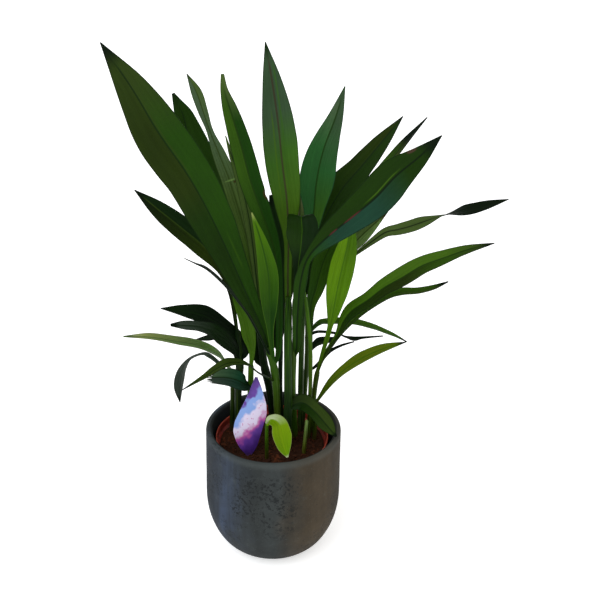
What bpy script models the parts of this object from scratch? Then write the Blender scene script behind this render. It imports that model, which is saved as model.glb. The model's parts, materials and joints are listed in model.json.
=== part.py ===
"""Potted palm seedlings with undivided, lance-shaped leaves, in a nursery pot inside a cover pot.

The origin is the middle of the cover pot's underside, +Z is up, and the front is at -Y.
"""
import math
from collections import namedtuple

import bmesh
import bpy
from mathutils import Vector

MM = 0.001

# Cover pot, in millimetres
POT_HEIGHT = 145.0
POT_RIM_RADIUS = 72.0
POT_BELLY_RADIUS = 73.0
POT_BELLY_HEIGHT = 65.0
POT_FOOT_RADIUS = 34.0
POT_WALL = 7.0
POT_FLOOR = 10.0
POT_INNER_FLOOR_RADIUS = 44.0
POT_RIM_ROUNDING = 3.0
POT_SIDES = 40
POT_CURVE_STEPS = 6

# Nursery pot, in millimetres
NURSERY_RIM_RADIUS = 60.0
NURSERY_RIM_HEIGHT = 133.0
NURSERY_RIM_BAND = 11.0
NURSERY_STEP = 3.0
NURSERY_FOOT_RADIUS = 42.0
NURSERY_WALL = 1.3
NURSERY_SHIFT = (-1.5, 0.0)
NURSERY_SIDES = 32
DRAIN_HOLES = 5
DRAIN_RADIUS = 4.5
DRAIN_CIRCLE = 26.0

# Soil, stems and gaps, in millimetres
SOIL_TOP = 125.0
SOIL_CROWN = 1.2
STEM_DEPTH = 20.0
GAP = 0.3
STEM_SIDES = 8
STEM_CLEARANCE = 0.45
STEM_COLLAR = 3.0
STEM_TAPER = 0.8

# Leaf blades, in millimetres
BLADE_THICKNESS = 0.8
STALK_WIDTH = 3.6
STALK_THICKNESS = 2.4
STALK_SHARE = 0.22
WIDE_BLADE = 22.0
TIP_WIDTH = 1.0
FULL_RIPPLE = 8.0
RIPPLES = 2.5
EXTRA_STATIONS = 5

# Plant label, in millimetres
LABEL_FOOT = (-25.5, -28.5, 118.0)
LABEL_TOP = (-18.0, -9.0, 210.0)
LABEL_THICKNESS = 0.8
LABEL_BOW = 2.0
LABEL_WIDTH = 36.0
LABEL_ROWS = 24
LABEL_SLOT = (7.6, 3.6, 14.0)

COLOURS = {
    "pot": ((0.085, 0.095, 0.105), 0.85),
    "nursery": ((0.33, 0.075, 0.05), 0.5),
    "soil": ((0.05, 0.018, 0.01), 0.95),
    "label": ((0.35, 0.22, 0.60), 0.35),
    "dark_leaf": ((0.012, 0.035, 0.012), 0.45),
    "green_leaf": ((0.03, 0.10, 0.015), 0.45),
    "lime_leaf": ((0.12, 0.28, 0.015), 0.45),
}

# A leaf leaves its stem at the height root, then runs through its sections to the tip; a section is
# a point of the midrib and the width there; faces are the ways its upper side looks, from root to
# tip; fold lifts the margins above the midrib, and wave ripples them
Leaf = namedtuple("Leaf", "name root faces sections fold wave", defaults=(0.22, 0.0))

TO_CAMERA = [(0.0, -0.9, 0.45)]
UPWARD = [(0.1, -0.1, 1.0)]
ROLLED_BACK = [(0.0, -0.9, 0.45), (0.0, -0.9, 0.45), (0.0, -0.4, 1.0), (0.0, 1.0, 0.3)]
HALF_TURNED = TO_CAMERA * 5 + [(0.0, 0.45, 0.9)] + [(0.0, 0.9, -0.45)] * 2


def clear_scene():
    for item in list(bpy.data.objects):
        bpy.data.objects.remove(item, do_unlink=True)


def make_material(name):
    colour, roughness = COLOURS[name]
    material = bpy.data.materials.new(name)
    material.use_nodes = True
    shader = material.node_tree.nodes["Principled BSDF"]
    shader.inputs["Base Color"].default_value = (*colour, 1.0)
    shader.inputs["Roughness"].default_value = roughness
    shader.inputs["Metallic"].default_value = 0.0
    return material


def add_object(name, mesh, material=None):
    item = bpy.data.objects.new(name, mesh)
    bpy.context.scene.collection.objects.link(item)
    if material:
        mesh.materials.append(material)
    return item


def finish_mesh(name, work):
    """Turn a bmesh in millimetres into a mesh in metres with its faces pointing out."""
    bmesh.ops.recalc_face_normals(work, faces=work.faces[:])
    for vertex in work.verts:
        vertex.co *= MM
    mesh = bpy.data.meshes.new(name)
    work.to_mesh(mesh)
    work.free()
    return mesh


def shade_round(mesh, angle=40.0):
    mesh.shade_smooth()
    mesh.set_sharp_from_angle(angle=math.radians(angle))


def turned_mesh(name, profile, sides, centre=(0.0, 0.0)):
    """Turn a (radius, height) profile round the vertical axis; its two ends lie on the axis."""
    work = bmesh.new()
    rings = []
    for radius, height in profile:
        if radius == 0.0:
            rings.append([work.verts.new((centre[0], centre[1], height))])
            continue
        ring = []
        for side in range(sides):
            angle = 2 * math.pi * side / sides
            place = (centre[0] + radius * math.cos(angle), centre[1] + radius * math.sin(angle), height)
            ring.append(work.verts.new(place))
        rings.append(ring)
    for lower, upper in zip(rings, rings[1:]):
        for side in range(sides):
            after = (side + 1) % sides
            if len(lower) == 1:
                work.faces.new((lower[0], upper[side], upper[after]))
            elif len(upper) == 1:
                work.faces.new((lower[side], upper[0], lower[after]))
            else:
                work.faces.new((lower[side], lower[after], upper[after], upper[side]))
    return finish_mesh(name, work)


def quarter_curve(inner_radius, outer_radius, bottom, top):
    """The rounded lower part of the cover pot, from its flat foot up to the belly."""
    points = []
    for step in range(POT_CURVE_STEPS + 1):
        angle = math.pi / 2 * step / POT_CURVE_STEPS
        radius = inner_radius + (outer_radius - inner_radius) * math.sin(angle)
        points.append((radius, top - (top - bottom) * math.cos(angle)))
    return points


def rounded_rim(outer, inner):
    """The rim's two rounded edges, from the outside over the top to the inside."""
    points = []
    for centre, start in ((outer - POT_RIM_ROUNDING, 0.0), (inner + POT_RIM_ROUNDING, 90.0)):
        for step in range(3):
            angle = math.radians(start + 45.0 * step)
            points.append((centre + POT_RIM_ROUNDING * math.cos(angle),
                           POT_HEIGHT - POT_RIM_ROUNDING + POT_RIM_ROUNDING * math.sin(angle)))
    return points


def place_origin(item, place):
    """Put an object's origin at a point given in millimetres, without moving its shape."""
    shift = Vector(place) * MM
    for vertex in item.data.vertices:
        vertex.co -= shift
    item.location = shift


def cut_with(item, cutters):
    """Cut the cutter objects out of item, apply the cut and remove them."""
    group = bpy.data.collections.new(item.name + "_cutters")
    for cutter in cutters:
        cutter.hide_render = True
        cutter.display_type = "WIRE"
        group.objects.link(cutter)
    apply_boolean(item, group, "DIFFERENCE")


def apply_boolean(item, group, operation):
    """Join or cut item with a collection's objects, apply it, and remove those objects."""
    modifier = item.modifiers.new("boolean", "BOOLEAN")
    modifier.operation = operation
    modifier.solver = "EXACT"
    modifier.operand_type = "COLLECTION"
    modifier.collection = group
    bpy.context.view_layer.update()
    graph = bpy.context.evaluated_depsgraph_get()
    result = bpy.data.meshes.new_from_object(item.evaluated_get(graph))
    item.modifiers.clear()
    item.data = result
    for other in list(group.objects):
        bpy.data.objects.remove(other, do_unlink=True)
    bpy.data.collections.remove(group)


def clean_triangles(item):
    """Split a joined body into triangles and weld the slivers that a union leaves."""
    work = bmesh.new()
    work.from_mesh(item.data)
    bmesh.ops.remove_doubles(work, verts=work.verts[:], dist=0.02 * MM)
    bmesh.ops.dissolve_degenerate(work, edges=work.edges[:], dist=0.01 * MM)
    bmesh.ops.triangulate(work, faces=work.faces[:])
    work.to_mesh(item.data)
    work.free()


def make_cover_pot(material):
    outer = quarter_curve(POT_FOOT_RADIUS, POT_BELLY_RADIUS, 0.0, POT_BELLY_HEIGHT)
    inner_belly = POT_BELLY_RADIUS - POT_WALL
    inner = quarter_curve(POT_INNER_FLOOR_RADIUS, inner_belly, POT_FLOOR, POT_BELLY_HEIGHT)
    rim = rounded_rim(POT_RIM_RADIUS, POT_RIM_RADIUS - POT_WALL)
    profile = [(0.0, 0.0)] + outer + rim + inner[::-1] + [(0.0, POT_FLOOR)]
    mesh = turned_mesh("cover_pot", profile, POT_SIDES)
    shade_round(mesh)
    return add_object("cover_pot", mesh, material)


def nursery_inner_radius(height):
    """Inside radius of the nursery pot's tapered wall at a height."""
    foot = POT_FLOOR + GAP
    top = NURSERY_RIM_HEIGHT - NURSERY_RIM_BAND
    share = (height - foot) / (top - foot)
    outer = NURSERY_FOOT_RADIUS + (NURSERY_RIM_RADIUS - NURSERY_STEP - NURSERY_FOOT_RADIUS) * share
    return outer - NURSERY_WALL


def make_nursery_pot(material):
    foot = POT_FLOOR + GAP
    band = NURSERY_RIM_HEIGHT - NURSERY_RIM_BAND
    floor = foot + NURSERY_WALL
    profile = [
        (0.0, foot),
        (NURSERY_FOOT_RADIUS - 1.0, foot),
        (NURSERY_FOOT_RADIUS, foot + 1.0),
        (NURSERY_RIM_RADIUS - NURSERY_STEP, band),
        (NURSERY_RIM_RADIUS, band + NURSERY_WALL),
        (NURSERY_RIM_RADIUS, NURSERY_RIM_HEIGHT),
        (NURSERY_RIM_RADIUS - NURSERY_WALL, NURSERY_RIM_HEIGHT),
        (NURSERY_RIM_RADIUS - NURSERY_WALL, band + 2 * NURSERY_WALL),
        (nursery_inner_radius(band), band),
        (nursery_inner_radius(floor), floor),
        (0.0, floor),
    ]
    mesh = turned_mesh("nursery_pot", profile, NURSERY_SIDES, NURSERY_SHIFT)
    pot = add_object("nursery_pot", mesh, material)
    cutters = []
    for number in range(DRAIN_HOLES):
        angle = 2 * math.pi * number / DRAIN_HOLES
        place = (NURSERY_SHIFT[0] + DRAIN_CIRCLE * math.cos(angle),
                 NURSERY_SHIFT[1] + DRAIN_CIRCLE * math.sin(angle))
        under, over = foot - 1.0, floor + 1.0
        profile = [(0.0, under), (DRAIN_RADIUS, under), (DRAIN_RADIUS, over), (0.0, over)]
        cutters.append(add_object("drain_cutter", turned_mesh("drain_cutter", profile, 10, place)))
    cut_with(pot, cutters)
    clean_triangles(pot)
    shade_round(pot.data)
    return pot


def smooth_route(points, count):
    """Points spaced evenly along the smooth curve through the given points or sections."""
    padded = [points[0] * 2 - points[1]] + list(points) + [points[-1] * 2 - points[-2]]
    fine = []
    for before, start, end, after in zip(padded, padded[1:], padded[2:], padded[3:]):
        for step in range(16):
            t = step / 16
            fine.append(0.5 * (2 * start + (end - before) * t
                               + (2 * before - 5 * start + 4 * end - after) * t ** 2
                               + (3 * start - before - 3 * end + after) * t ** 3))
    fine.append(points[-1])
    lengths = [0.0]
    for a, b in zip(fine, fine[1:]):
        lengths.append(lengths[-1] + (b.to_3d() - a.to_3d()).length)
    route = []
    index = 0
    for number in range(count):
        target = lengths[-1] * number / (count - 1)
        while index < len(fine) - 2 and lengths[index + 1] < target:
            index += 1
        share = (target - lengths[index]) / (lengths[index + 1] - lengths[index])
        route.append(fine[index].lerp(fine[index + 1], share))
    return route


def tangents(route):
    ahead = route[1:] + [route[-1] * 2 - route[-2]]
    behind = [route[0] * 2 - route[1]] + route[:-1]
    return [(b - a).normalized() for a, b in zip(behind, ahead)]


def stem_route(foot, places):
    """A stem's centre line: straight down in the soil, then curved through its places."""
    collar = Vector((foot[0], foot[1], SOIL_TOP + STEM_COLLAR))
    buried = Vector((foot[0], foot[1], SOIL_TOP - STEM_DEPTH))
    upper = [collar] + [Vector(place) for place in places]
    return [buried] + smooth_route(upper, 3 + 2 * len(places))


def stem_mesh(name, route, radius):
    """A tapered round stem along its route, closed at both ends."""
    work = bmesh.new()
    rings = []
    last = len(route) - 1
    for number, (place, along) in enumerate(zip(route, tangents(route))):
        along = Vector((0.0, 0.0, 1.0)) if number < 2 else along
        across = Vector((0.0, -1.0, 0.0)).cross(along).normalized()
        out = along.cross(across)
        reach = radius * (1.0 + (STEM_TAPER - 1.0) * max(0, number - 1) / (last - 1))
        ring = []
        for side in range(STEM_SIDES):
            angle = 2 * math.pi * side / STEM_SIDES
            ring.append(work.verts.new(place + (across * math.cos(angle) + out * math.sin(angle)) * reach))
        rings.append(ring)
    for lower, upper in zip(rings, rings[1:]):
        for side in range(STEM_SIDES):
            after = (side + 1) % STEM_SIDES
            work.faces.new((lower[side], lower[after], upper[after], upper[side]))
    work.faces.new(rings[0])
    work.faces.new(rings[-1])
    return finish_mesh(name, work)


def point_at_height(route, height):
    """The point of a stem's centre line at a height."""
    for lower, upper in zip(route, route[1:]):
        if lower.z <= height <= upper.z:
            return lower.lerp(upper, (height - lower.z) / (upper.z - lower.z))
    return route[-1].copy()


def face_at(faces, share):
    """The way the upper side looks at a share of the leaf's length."""
    place = share * (len(faces) - 1)
    index = min(int(place), max(len(faces) - 2, 0))
    after = min(index + 1, len(faces) - 1)
    return Vector(faces[index]).normalized().lerp(Vector(faces[after]).normalized(), place - index)


def leaf_thickness(share):
    """The stalk is thick where it leaves the stem and thins out into the blade."""
    return BLADE_THICKNESS + (STALK_THICKNESS - BLADE_THICKNESS) * max(0.0, 1.0 - share / STALK_SHARE)


def leaf_mesh(leaf, stem):
    """A thin closed blade with its stalk, folded along the midrib; both faces split alike."""
    strips = 4 if max(section[3] for section in leaf.sections) > WIDE_BLADE else 2
    stations = len(leaf.sections) + EXTRA_STATIONS
    root = point_at_height(stem, leaf.root)
    sections = [Vector((*root, STALK_WIDTH))] + [Vector(section) for section in leaf.sections]
    line = smooth_route(sections, stations)
    middle = [section.to_3d() for section in line]
    work = bmesh.new()
    top, bottom = [], []
    for number, (place, along) in enumerate(zip(middle, tangents(middle))):
        share = number / (stations - 1)
        face = face_at(leaf.faces, share)
        normal = (face - along * face.dot(along)).normalized()
        across = along.cross(normal)
        half = max(line[number][3], TIP_WIDTH) / 2
        lift = normal * leaf_thickness(share) / 2
        upper_row, lower_row = [], []
        for column in range(strips + 1):
            side = 2 * column / strips - 1
            rise = leaf.fold * half * (1.25 * abs(side) - 0.25 * side ** 2)
            swing = math.sin(2 * math.pi * RIPPLES * share)
            ripple = leaf.wave * swing * side * min(1.0, half / FULL_RIPPLE)
            centre = place + across * half * side + normal * (rise + ripple)
            upper_row.append(work.verts.new(centre + lift))
            lower_row.append(work.verts.new(centre - lift))
        top.append(upper_row)
        bottom.append(lower_row)
    for number in range(stations - 1):
        for column in range(strips):
            for rows in (top, bottom):
                a, b = rows[number][column], rows[number][column + 1]
                c, d = rows[number + 1][column + 1], rows[number + 1][column]
                if column < strips / 2:
                    halves = ((a, b, c), (a, c, d))
                else:
                    halves = ((a, b, d), (b, c, d))
                for corners in halves:
                    work.faces.new(corners)
        for column in (0, strips):
            work.faces.new((top[number][column], bottom[number][column], bottom[number + 1][column]))
            work.faces.new((top[number][column], bottom[number + 1][column], top[number + 1][column]))
    for number in (0, -1):
        for column in range(strips):
            work.faces.new((top[number][column], top[number][column + 1],
                            bottom[number][column + 1], bottom[number][column]))
    return finish_mesh(leaf.name, work)


def leafy_stem(name, material, foot, places, radius, leaves):
    """A stem and its leaves, fused into one body."""
    route = stem_route(foot, places)
    stem = add_object(name, stem_mesh(name, route, radius), material)
    if leaves:
        group = bpy.data.collections.new(name + "_leaves")
        for leaf in leaves:
            group.objects.link(add_object(leaf.name, leaf_mesh(leaf, route)))
        apply_boolean(stem, group, "UNION")
    clean_triangles(stem)
    shade_round(stem.data, 50.0)
    place_origin(stem, (*foot, SOIL_TOP))
    return stem


# Leafy stems: material, foot on the soil, places of the centre line, radius, leaves, in millimetres
STEMS = {
    "stem_great": ("dark_leaf", (6, 1), [(4, -5, 168), (1, -12, 218), (-6, -17, 250)], 4.0, [
        Leaf("great_leaf", 246, TO_CAMERA, [
            (-10, -17, 267, 10), (-23, -20, 301, 18), (-41, -24, 349, 29), (-58, -33, 395, 40),
            (-77, -45, 440, 43), (-100, -59, 484, 44), (-118, -76, 527, 28), (-138, -95, 569, 1)]),
        Leaf("lime_centre_leaf", 222, TO_CAMERA, [
            (-3, -26, 271, 6), (-4, -33, 306, 15), (-5, -38, 340, 19), (-11, -45, 375, 12),
            (-20, -50, 408, 1)]),
        Leaf("second_tall_leaf", 226, TO_CAMERA, [
            (4, -14, 239, 5), (5, -13, 263, 7), (5, -14, 302, 8), (0, -16, 355, 13),
            (-11, -18, 392, 18), (-22, -23, 427, 21), (-30, -29, 462, 20), (-35, -34, 483, 17),
            (-40, -38, 502, 13), (-44, -41, 518, 7), (-45, -45, 533, 3)], wave=1.2),
        Leaf("olive_arch_leaf", 206, [(0.1, 0.0, 1.0)], [
            (-14, -27, 225, 7), (-24, -34, 238, 9), (-34, -39, 244, 13), (-45, -45, 246, 15),
            (-56, -50, 242, 11), (-67, -57, 237, 7), (-87, -68, 229, 1)]),
        Leaf("edge_on_leaf", 234, [(0.75, 0.55, 0.35)], [
            (-22, -37, 291, 8), (-32, -47, 313, 9), (-45, -56, 336, 13), (-60, -63, 355, 15),
            (-71, -66, 363, 10), (-80, -70, 370, 3)]),
    ]),
    "stem_centre": ("green_leaf", (15, -8), [(15, -10, 184), (14, -11, 243), (14, -11, 304)], 4.5, [
        Leaf("tallest_leaf", 270, TO_CAMERA, [
            (13, -7, 326, 8), (13, -5, 364, 10), (11, -2, 401, 25), (6, 2, 438, 32),
            (2, 7, 473, 30), (-4, 14, 510, 19), (-11, 22, 546, 1)]),
        Leaf("rim_leaf", 174, [(0.35, -0.6, 0.8)], [
            (30, -8, 179, 19), (43, -14, 172.5, 18), (55, -22, 162, 18), (66, -29, 152, 2)]),
    ]),
    "stem_front_right": ("dark_leaf", (23, 9), [
            (20, 1, 190), (20, -1, 225), (21, -9, 262), (20, -22, 310)], 3.2, [
        Leaf("curled_leaf", 292, ROLLED_BACK, [
            (23, -24, 342, 9), (25, -30, 363, 20), (26, -32, 382, 29), (25, -25, 393, 26),
            (26, -13, 390, 15), (27, -5, 380, 1)]),
        Leaf("red_rib_leaf", 230, [(-0.1, -0.9, 0.45)], [
            (23, -8, 246, 7), (23, -14, 272, 9), (24, -23, 304, 11), (26, -30, 332, 12),
            (33, -35, 359, 9), (51, -41, 383, 20), (71, -49, 405, 28), (91, -56, 427, 34),
            (107, -65, 451, 32), (125, -76, 473, 18), (141, -88, 496, 1)]),
    ]),
    "stem_back_right": ("green_leaf", (29, 24), [(28, 20, 184), (28, 18, 251), (29, 18, 300)], 3.2, [
        Leaf("teal_leaf", 296, TO_CAMERA, [
            (33, 22, 346, 10), (37, 26, 378, 19), (39, 32, 408, 34), (45, 38, 439, 29),
            (56, 43, 471, 15), (64, 48, 500, 1)]),
        Leaf("olive_back_leaf", 282, [(-0.2, -0.75, 0.6)], [
            (38, 30, 339, 13), (49, 41, 367, 25), (65, 53, 393, 33), (85, 69, 413, 25),
            (105, 84, 434, 17), (126, 98, 457, 1)]),
    ]),
    "stem_far_right": ("dark_leaf", (31, 34), [(33, 36, 170), (34, 36, 224), (33, 38, 272)], 2.6, [
        Leaf("far_leaf", 268, [(-0.6, -0.2, 0.7)], [
            (52, 57, 325, 18), (77, 76, 360, 20), (103, 96, 390, 21), (130, 115, 421, 15),
            (155, 133, 446, 2)]),
        Leaf("twisted_leaf", 252, HALF_TURNED, [
            (47, 43, 291, 4), (63, 48, 311, 4), (82, 56, 322, 4), (99, 64, 333, 7),
            (113, 72, 340, 10), (126, 80, 340, 12), (139, 89, 340, 13), (156, 101, 341, 13),
            (176, 113, 343, 12), (200, 124, 345, 13), (228, 137, 348, 10), (254, 150, 350, 1)]),
        Leaf("olive_sliver_leaf", 258, [(-0.2, -0.6, 0.75)], [
            (53, 50, 301, 6), (64, 59, 313, 10), (77, 66, 325, 17), (93, 73, 340, 17),
            (115, 80, 360, 1)]),
        Leaf("thin_green_leaf", 236, UPWARD, [
            (45, 42, 246, 7), (54, 47, 246, 11), (79, 54, 243, 13), (101, 60, 235, 13),
            (118, 65, 226, 11), (131, 68, 219, 7), (144, 70, 211, 2)]),
        Leaf("thin_dark_leaf", 234, UPWARD, [
            (45, 41, 237, 5), (66, 47, 232, 5), (75, 51, 226, 5), (83, 54, 222, 9),
            (93, 59, 221, 5), (117, 68, 219, 2)]),
        Leaf("lowest_dark_leaf", 193, UPWARD, [
            (41, 41, 192, 4), (49, 44, 199, 5), (59, 47, 210, 5), (71, 50, 216, 4),
            (85, 54, 219, 2)]),
        Leaf("short_dark_leaf", 212, UPWARD, [
            (40, 42, 218, 7), (48, 45, 223, 13), (60, 49, 223, 10), (68, 52, 225, 2)]),
    ]),
    "stem_spear": ("green_leaf", (38, 10), [
            (38, 2, 189), (37, -8, 243), (35, -12, 269), (32, -16, 295), (28, -20, 321)], 2.3, [
        Leaf("dark_right_leaf", 238, [(0.1, -0.9, 0.4)], [
            (36, 3, 281, 8), (41, 7, 305, 16), (48, 12, 333, 22), (58, 14, 357, 22),
            (68, 12, 383, 2)]),
    ]),
    "stem_right_arch": ("lime_leaf", (41, 20), [(43, 17, 180), (46, 14, 210)], 2.7, [
        Leaf("arching_leaf", 204, [(-0.3, -0.6, 0.75)], [
            (51, 12, 223, 5), (57, 12, 235, 5), (65, 11, 251, 6), (71, 11, 267, 11),
            (79, 11, 279, 16), (94, 9, 292, 17), (109, 7, 307, 20), (126, 4, 320, 22),
            (145, 1, 335, 19), (164, -4, 346, 16), (184, -11, 358, 11), (209, -20, 370, 1)], wave=1.0),
        Leaf("under_arching_leaf", 200, UPWARD, [
            (52, 14, 221, 4), (68, 18, 247, 6), (89, 20, 270, 8), (114, 21, 290, 13),
            (129, 22, 295, 14), (145, 23, 296, 12), (161, 24, 300, 9), (176, 25, 307, 2)]),
        Leaf("lime_right_leaf", 203, TO_CAMERA, [
            (50, 10, 230, 4), (54, 8, 248, 5), (57, 6, 265, 6), (59, 4, 279, 12),
            (62, -2, 308, 22), (66, -9, 338, 24), (70, -18, 369, 17), (70, -28, 400, 1)]),
    ]),
    "stem_low_right": ("lime_leaf", (44, 7), [(45, 8, 174)], 2.3, [
        Leaf("low_right_leaf", 170, [(-0.4, -0.3, 0.85)], [
            (60, 7, 196, 11), (75, 5, 214, 14), (91, 3, 228, 16), (111, 0, 241, 12),
            (134, -4, 252, 1)]),
    ]),
    "stem_left_dark": ("dark_leaf", (-38, 10), [(-38, 8, 177), (-36, 8, 220), (-39, 8, 258)], 4.0, [
        Leaf("long_left_leaf", 254, [(0.3, -0.8, 0.5)], [
            (-44, 8, 296, 6), (-52, 10, 323, 14), (-71, 14, 345, 23), (-94, 19, 363, 23),
            (-116, 23, 380, 17), (-139, 28, 398, 1)]),
        Leaf("black_leaf", 220, [(0.0, -0.55, 0.85)], [
            (-33, 8, 230, 14), (-38, 6, 244, 18), (-50, -2, 261, 20), (-69, -13, 281, 23),
            (-89, -22, 291, 14), (-110, -30, 298, 1)]),
        Leaf("black_lower_leaf", 222, [(0.0, -0.6, 0.8)], [
            (-43, -6, 243, 14), (-59, -20, 266, 19), (-73, -35, 281, 12), (-86, -44, 287, 10),
            (-98, -51, 291, 3)]),
        Leaf("black_back_leaf", 212, [(0.0, -0.4, 0.9)], [
            (-42, 16, 231, 10), (-55, 25, 237, 9), (-69, 32, 232, 9), (-86, 38, 226, 1)]),
    ]),
    "stem_left_low": ("green_leaf", (-46, 22), [(-45, 24, 162), (-45, 24, 192)], 2.7, [
        Leaf("grey_arch_leaf", 186, [(0.1, -0.12, 1.0)], [
            (-50, 15, 209, 17), (-61, 7, 227, 22), (-78, -3, 242, 18), (-101, -16, 254, 16),
            (-122, -29, 265, 12), (-145, -45, 274, 2)]),
        Leaf("hanging_leaf", 176, [(-0.7, 0.6, 0.5), (-0.8, 0.55, -0.1)], [
            (-53, 31, 193, 4), (-68, 38, 205, 5), (-79, 40, 207, 9), (-92, 44, 198, 12),
            (-101, 49, 181, 17), (-105, 52, 160, 16), (-106, 54, 137, 1)]),
    ]),
    "stem_behind_label": ("green_leaf", (-25, 14), [(-25, 8, 177), (-24, 4, 220)], 3.4, [
        Leaf("light_left_leaf", 215, TO_CAMERA, [
            (-23, 3, 234, 7), (-26, 0, 255, 14), (-29, -5, 276, 14), (-36, -9, 299, 10),
            (-42, -16, 327, 1)]),
        Leaf("torn_leaf", 191, [(0.1, -0.6, 0.8)], [
            (-30, 0, 195, 15), (-39, -6, 204, 21), (-50, -10, 209, 19), (-66, -14, 211, 13)]),
    ]),
    "stem_back_left": ("dark_leaf", (0, 27), [(-5, 27, 173), (-13, 29, 213), (-17, 33, 278)], 4.8, [
        Leaf("grey_tall_leaf", 258, TO_CAMERA, [
            (-27, 46, 325, 10), (-37, 57, 360, 15), (-49, 68, 396, 16), (-59, 77, 418, 14),
            (-69, 85, 441, 7), (-76, 91, 459, 10), (-83, 98, 477, 11), (-93, 105, 494, 1)]),
        Leaf("broad_back_leaf", 200, [(0.2, -0.85, 0.5)], [
            (-16, 32, 209, 14), (-20, 34, 230, 10), (-28, 44, 272, 12), (-38, 59, 313, 20),
            (-56, 79, 350, 30), (-75, 100, 386, 35), (-94, 116, 425, 32), (-100, 123, 445, 21),
            (-106, 127, 457, 11), (-111, 130, 467, 3)]),
        Leaf("olive_tip_leaf", 266, TO_CAMERA, [
            (-25, 45, 342, 10), (-31, 52, 376, 11), (-39, 59, 405, 9), (-46, 62, 424, 5),
            (-52, 66, 443, 1)]),
    ]),
    "stem_back_middle": ("dark_leaf", (8, 34), [(6, 34, 175), (6, 38, 246)], 2.6, [
        Leaf("small_dark_leaf", 216, TO_CAMERA, [
            (1, 40, 224, 9), (1, 42, 248, 11), (6, 47, 283, 10), (5, 55, 323, 12),
            (-1, 60, 354, 13), (-7, 64, 382, 3)]),
        Leaf("pink_back_leaf", 230, TO_CAMERA, [
            (15, 54, 285, 9), (20, 63, 320, 13), (23, 70, 355, 13), (24, 76, 391, 1)]),
    ]),
    "sprout_lime": ("lime_leaf", (-6, -31), [(-6, -34, 149), (-6, -36, 173)], 2.0, [
        Leaf("lime_spoon_leaf", 170, [(0.3, -0.5, 0.8), (0.5, -0.8, 0.1)], [
            (-1, -41, 179, 11), (6, -46, 178, 17), (9, -52, 169, 21), (12, -58, 159, 16),
            (16, -63, 149, 2)]),
    ]),
    "stem_stub": ("green_leaf", (33, -19), [(35, -23, 167)], 2.1, []),
}


def make_label(material):
    """A bowed, leaning diamond of plastic whose lower point stands in the soil."""
    lowest = Vector(LABEL_FOOT)
    highest = Vector(LABEL_TOP)
    up = (highest - lowest).normalized()
    across = Vector((1.0, 0.0, 0.0))
    across = (across - up * across.dot(up)).normalized()
    normal = across.cross(up)
    length = (highest - lowest).length
    work = bmesh.new()
    front, back = [], []
    for row in range(LABEL_ROWS + 1):
        share = row / LABEL_ROWS
        left, right = label_edges(share)
        fronts, backs = [], []
        for column in range(5):
            offset = left + (right - left) * column / 4
            bow = LABEL_BOW * (1.0 - (2 * column / 4 - 1) ** 2) * (right - left) / LABEL_WIDTH
            centre = lowest + up * length * share + across * offset + normal * bow
            fronts.append(work.verts.new(centre + normal * LABEL_THICKNESS / 2))
            backs.append(work.verts.new(centre - normal * LABEL_THICKNESS / 2))
        front.append(fronts)
        back.append(backs)
    for row in range(LABEL_ROWS):
        for column in range(4):
            for grid in (front, back):
                work.faces.new((grid[row][column], grid[row][column + 1], grid[row + 1][column + 1],
                                grid[row + 1][column]))
        for column in (0, 4):
            work.faces.new((front[row][column], back[row][column], back[row + 1][column],
                            front[row + 1][column]))
    for row in (0, LABEL_ROWS):
        for column in range(4):
            work.faces.new((front[row][column], front[row][column + 1], back[row][column + 1],
                            back[row][column]))
    label = add_object("plant_label", finish_mesh("plant_label", work), material)
    place_origin(label, LABEL_FOOT)
    return label


def label_edges(share):
    """Left and right edge of the label at a share of its height, from its centre line."""
    left_points = [(0.0, -1.6), (0.085, -2.6), (0.13, -8.4), (0.22, -14.2), (0.34, -18.8), (0.46, -18.0), (0.8, -6.5),
                   (1.0, -1.2)]
    right_points = [(0.0, 1.2), (0.085, 2.4), (0.13, 5.0), (0.21, 8.0), (0.58, 14.5), (0.70, 13.0),
                    (0.90, 6.0), (1.0, 1.2)]
    return between(left_points, share), between(right_points, share)


def between(points, share):
    for (x0, y0), (x1, y1) in zip(points, points[1:]):
        if x0 <= share <= x1:
            return y0 + (y1 - y0) * (share - x0) / (x1 - x0)
    return points[-1][1]


def make_soil(material):
    """The soil plug in the nursery pot, with a plain hole for each stem and a slot for the label."""
    floor = POT_FLOOR + 2 * GAP + NURSERY_WALL
    band = NURSERY_RIM_HEIGHT - NURSERY_RIM_BAND
    profile = [
        (0.0, floor),
        (nursery_inner_radius(floor) - GAP, floor),
        (nursery_inner_radius(band) - GAP, band),
        (nursery_inner_radius(band) - GAP, SOIL_TOP - SOIL_CROWN),
        (NURSERY_FOOT_RADIUS - 4.0, SOIL_TOP),
        (0.0, SOIL_TOP),
    ]
    mesh = turned_mesh("soil", profile, NURSERY_SIDES, NURSERY_SHIFT)
    soil = add_object("soil", mesh, material)
    cutters = []
    for _, foot, _, radius, _ in STEMS.values():
        reach = radius + STEM_CLEARANCE
        bottom = SOIL_TOP - STEM_DEPTH - GAP
        top = SOIL_TOP + 5.0
        profile = [(0.0, bottom), (reach, bottom), (reach, top), (0.0, top)]
        cutters.append(add_object("stem_hole", turned_mesh("stem_hole", profile, STEM_SIDES, foot)))
    slot_centre = (LABEL_FOOT[0], LABEL_FOOT[1] + 0.2, SOIL_TOP - 1.0)
    cutters.append(add_object("label_slot", box_mesh("label_slot", slot_centre, LABEL_SLOT)))
    cut_with(soil, cutters)
    clean_triangles(soil)
    return soil


def box_mesh(name, centre, size):
    work = bmesh.new()
    bmesh.ops.create_cube(work, size=1.0)
    for vertex in work.verts:
        vertex.co = Vector(centre) + Vector([a * b for a, b in zip(vertex.co, size)])
    return finish_mesh(name, work)


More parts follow.
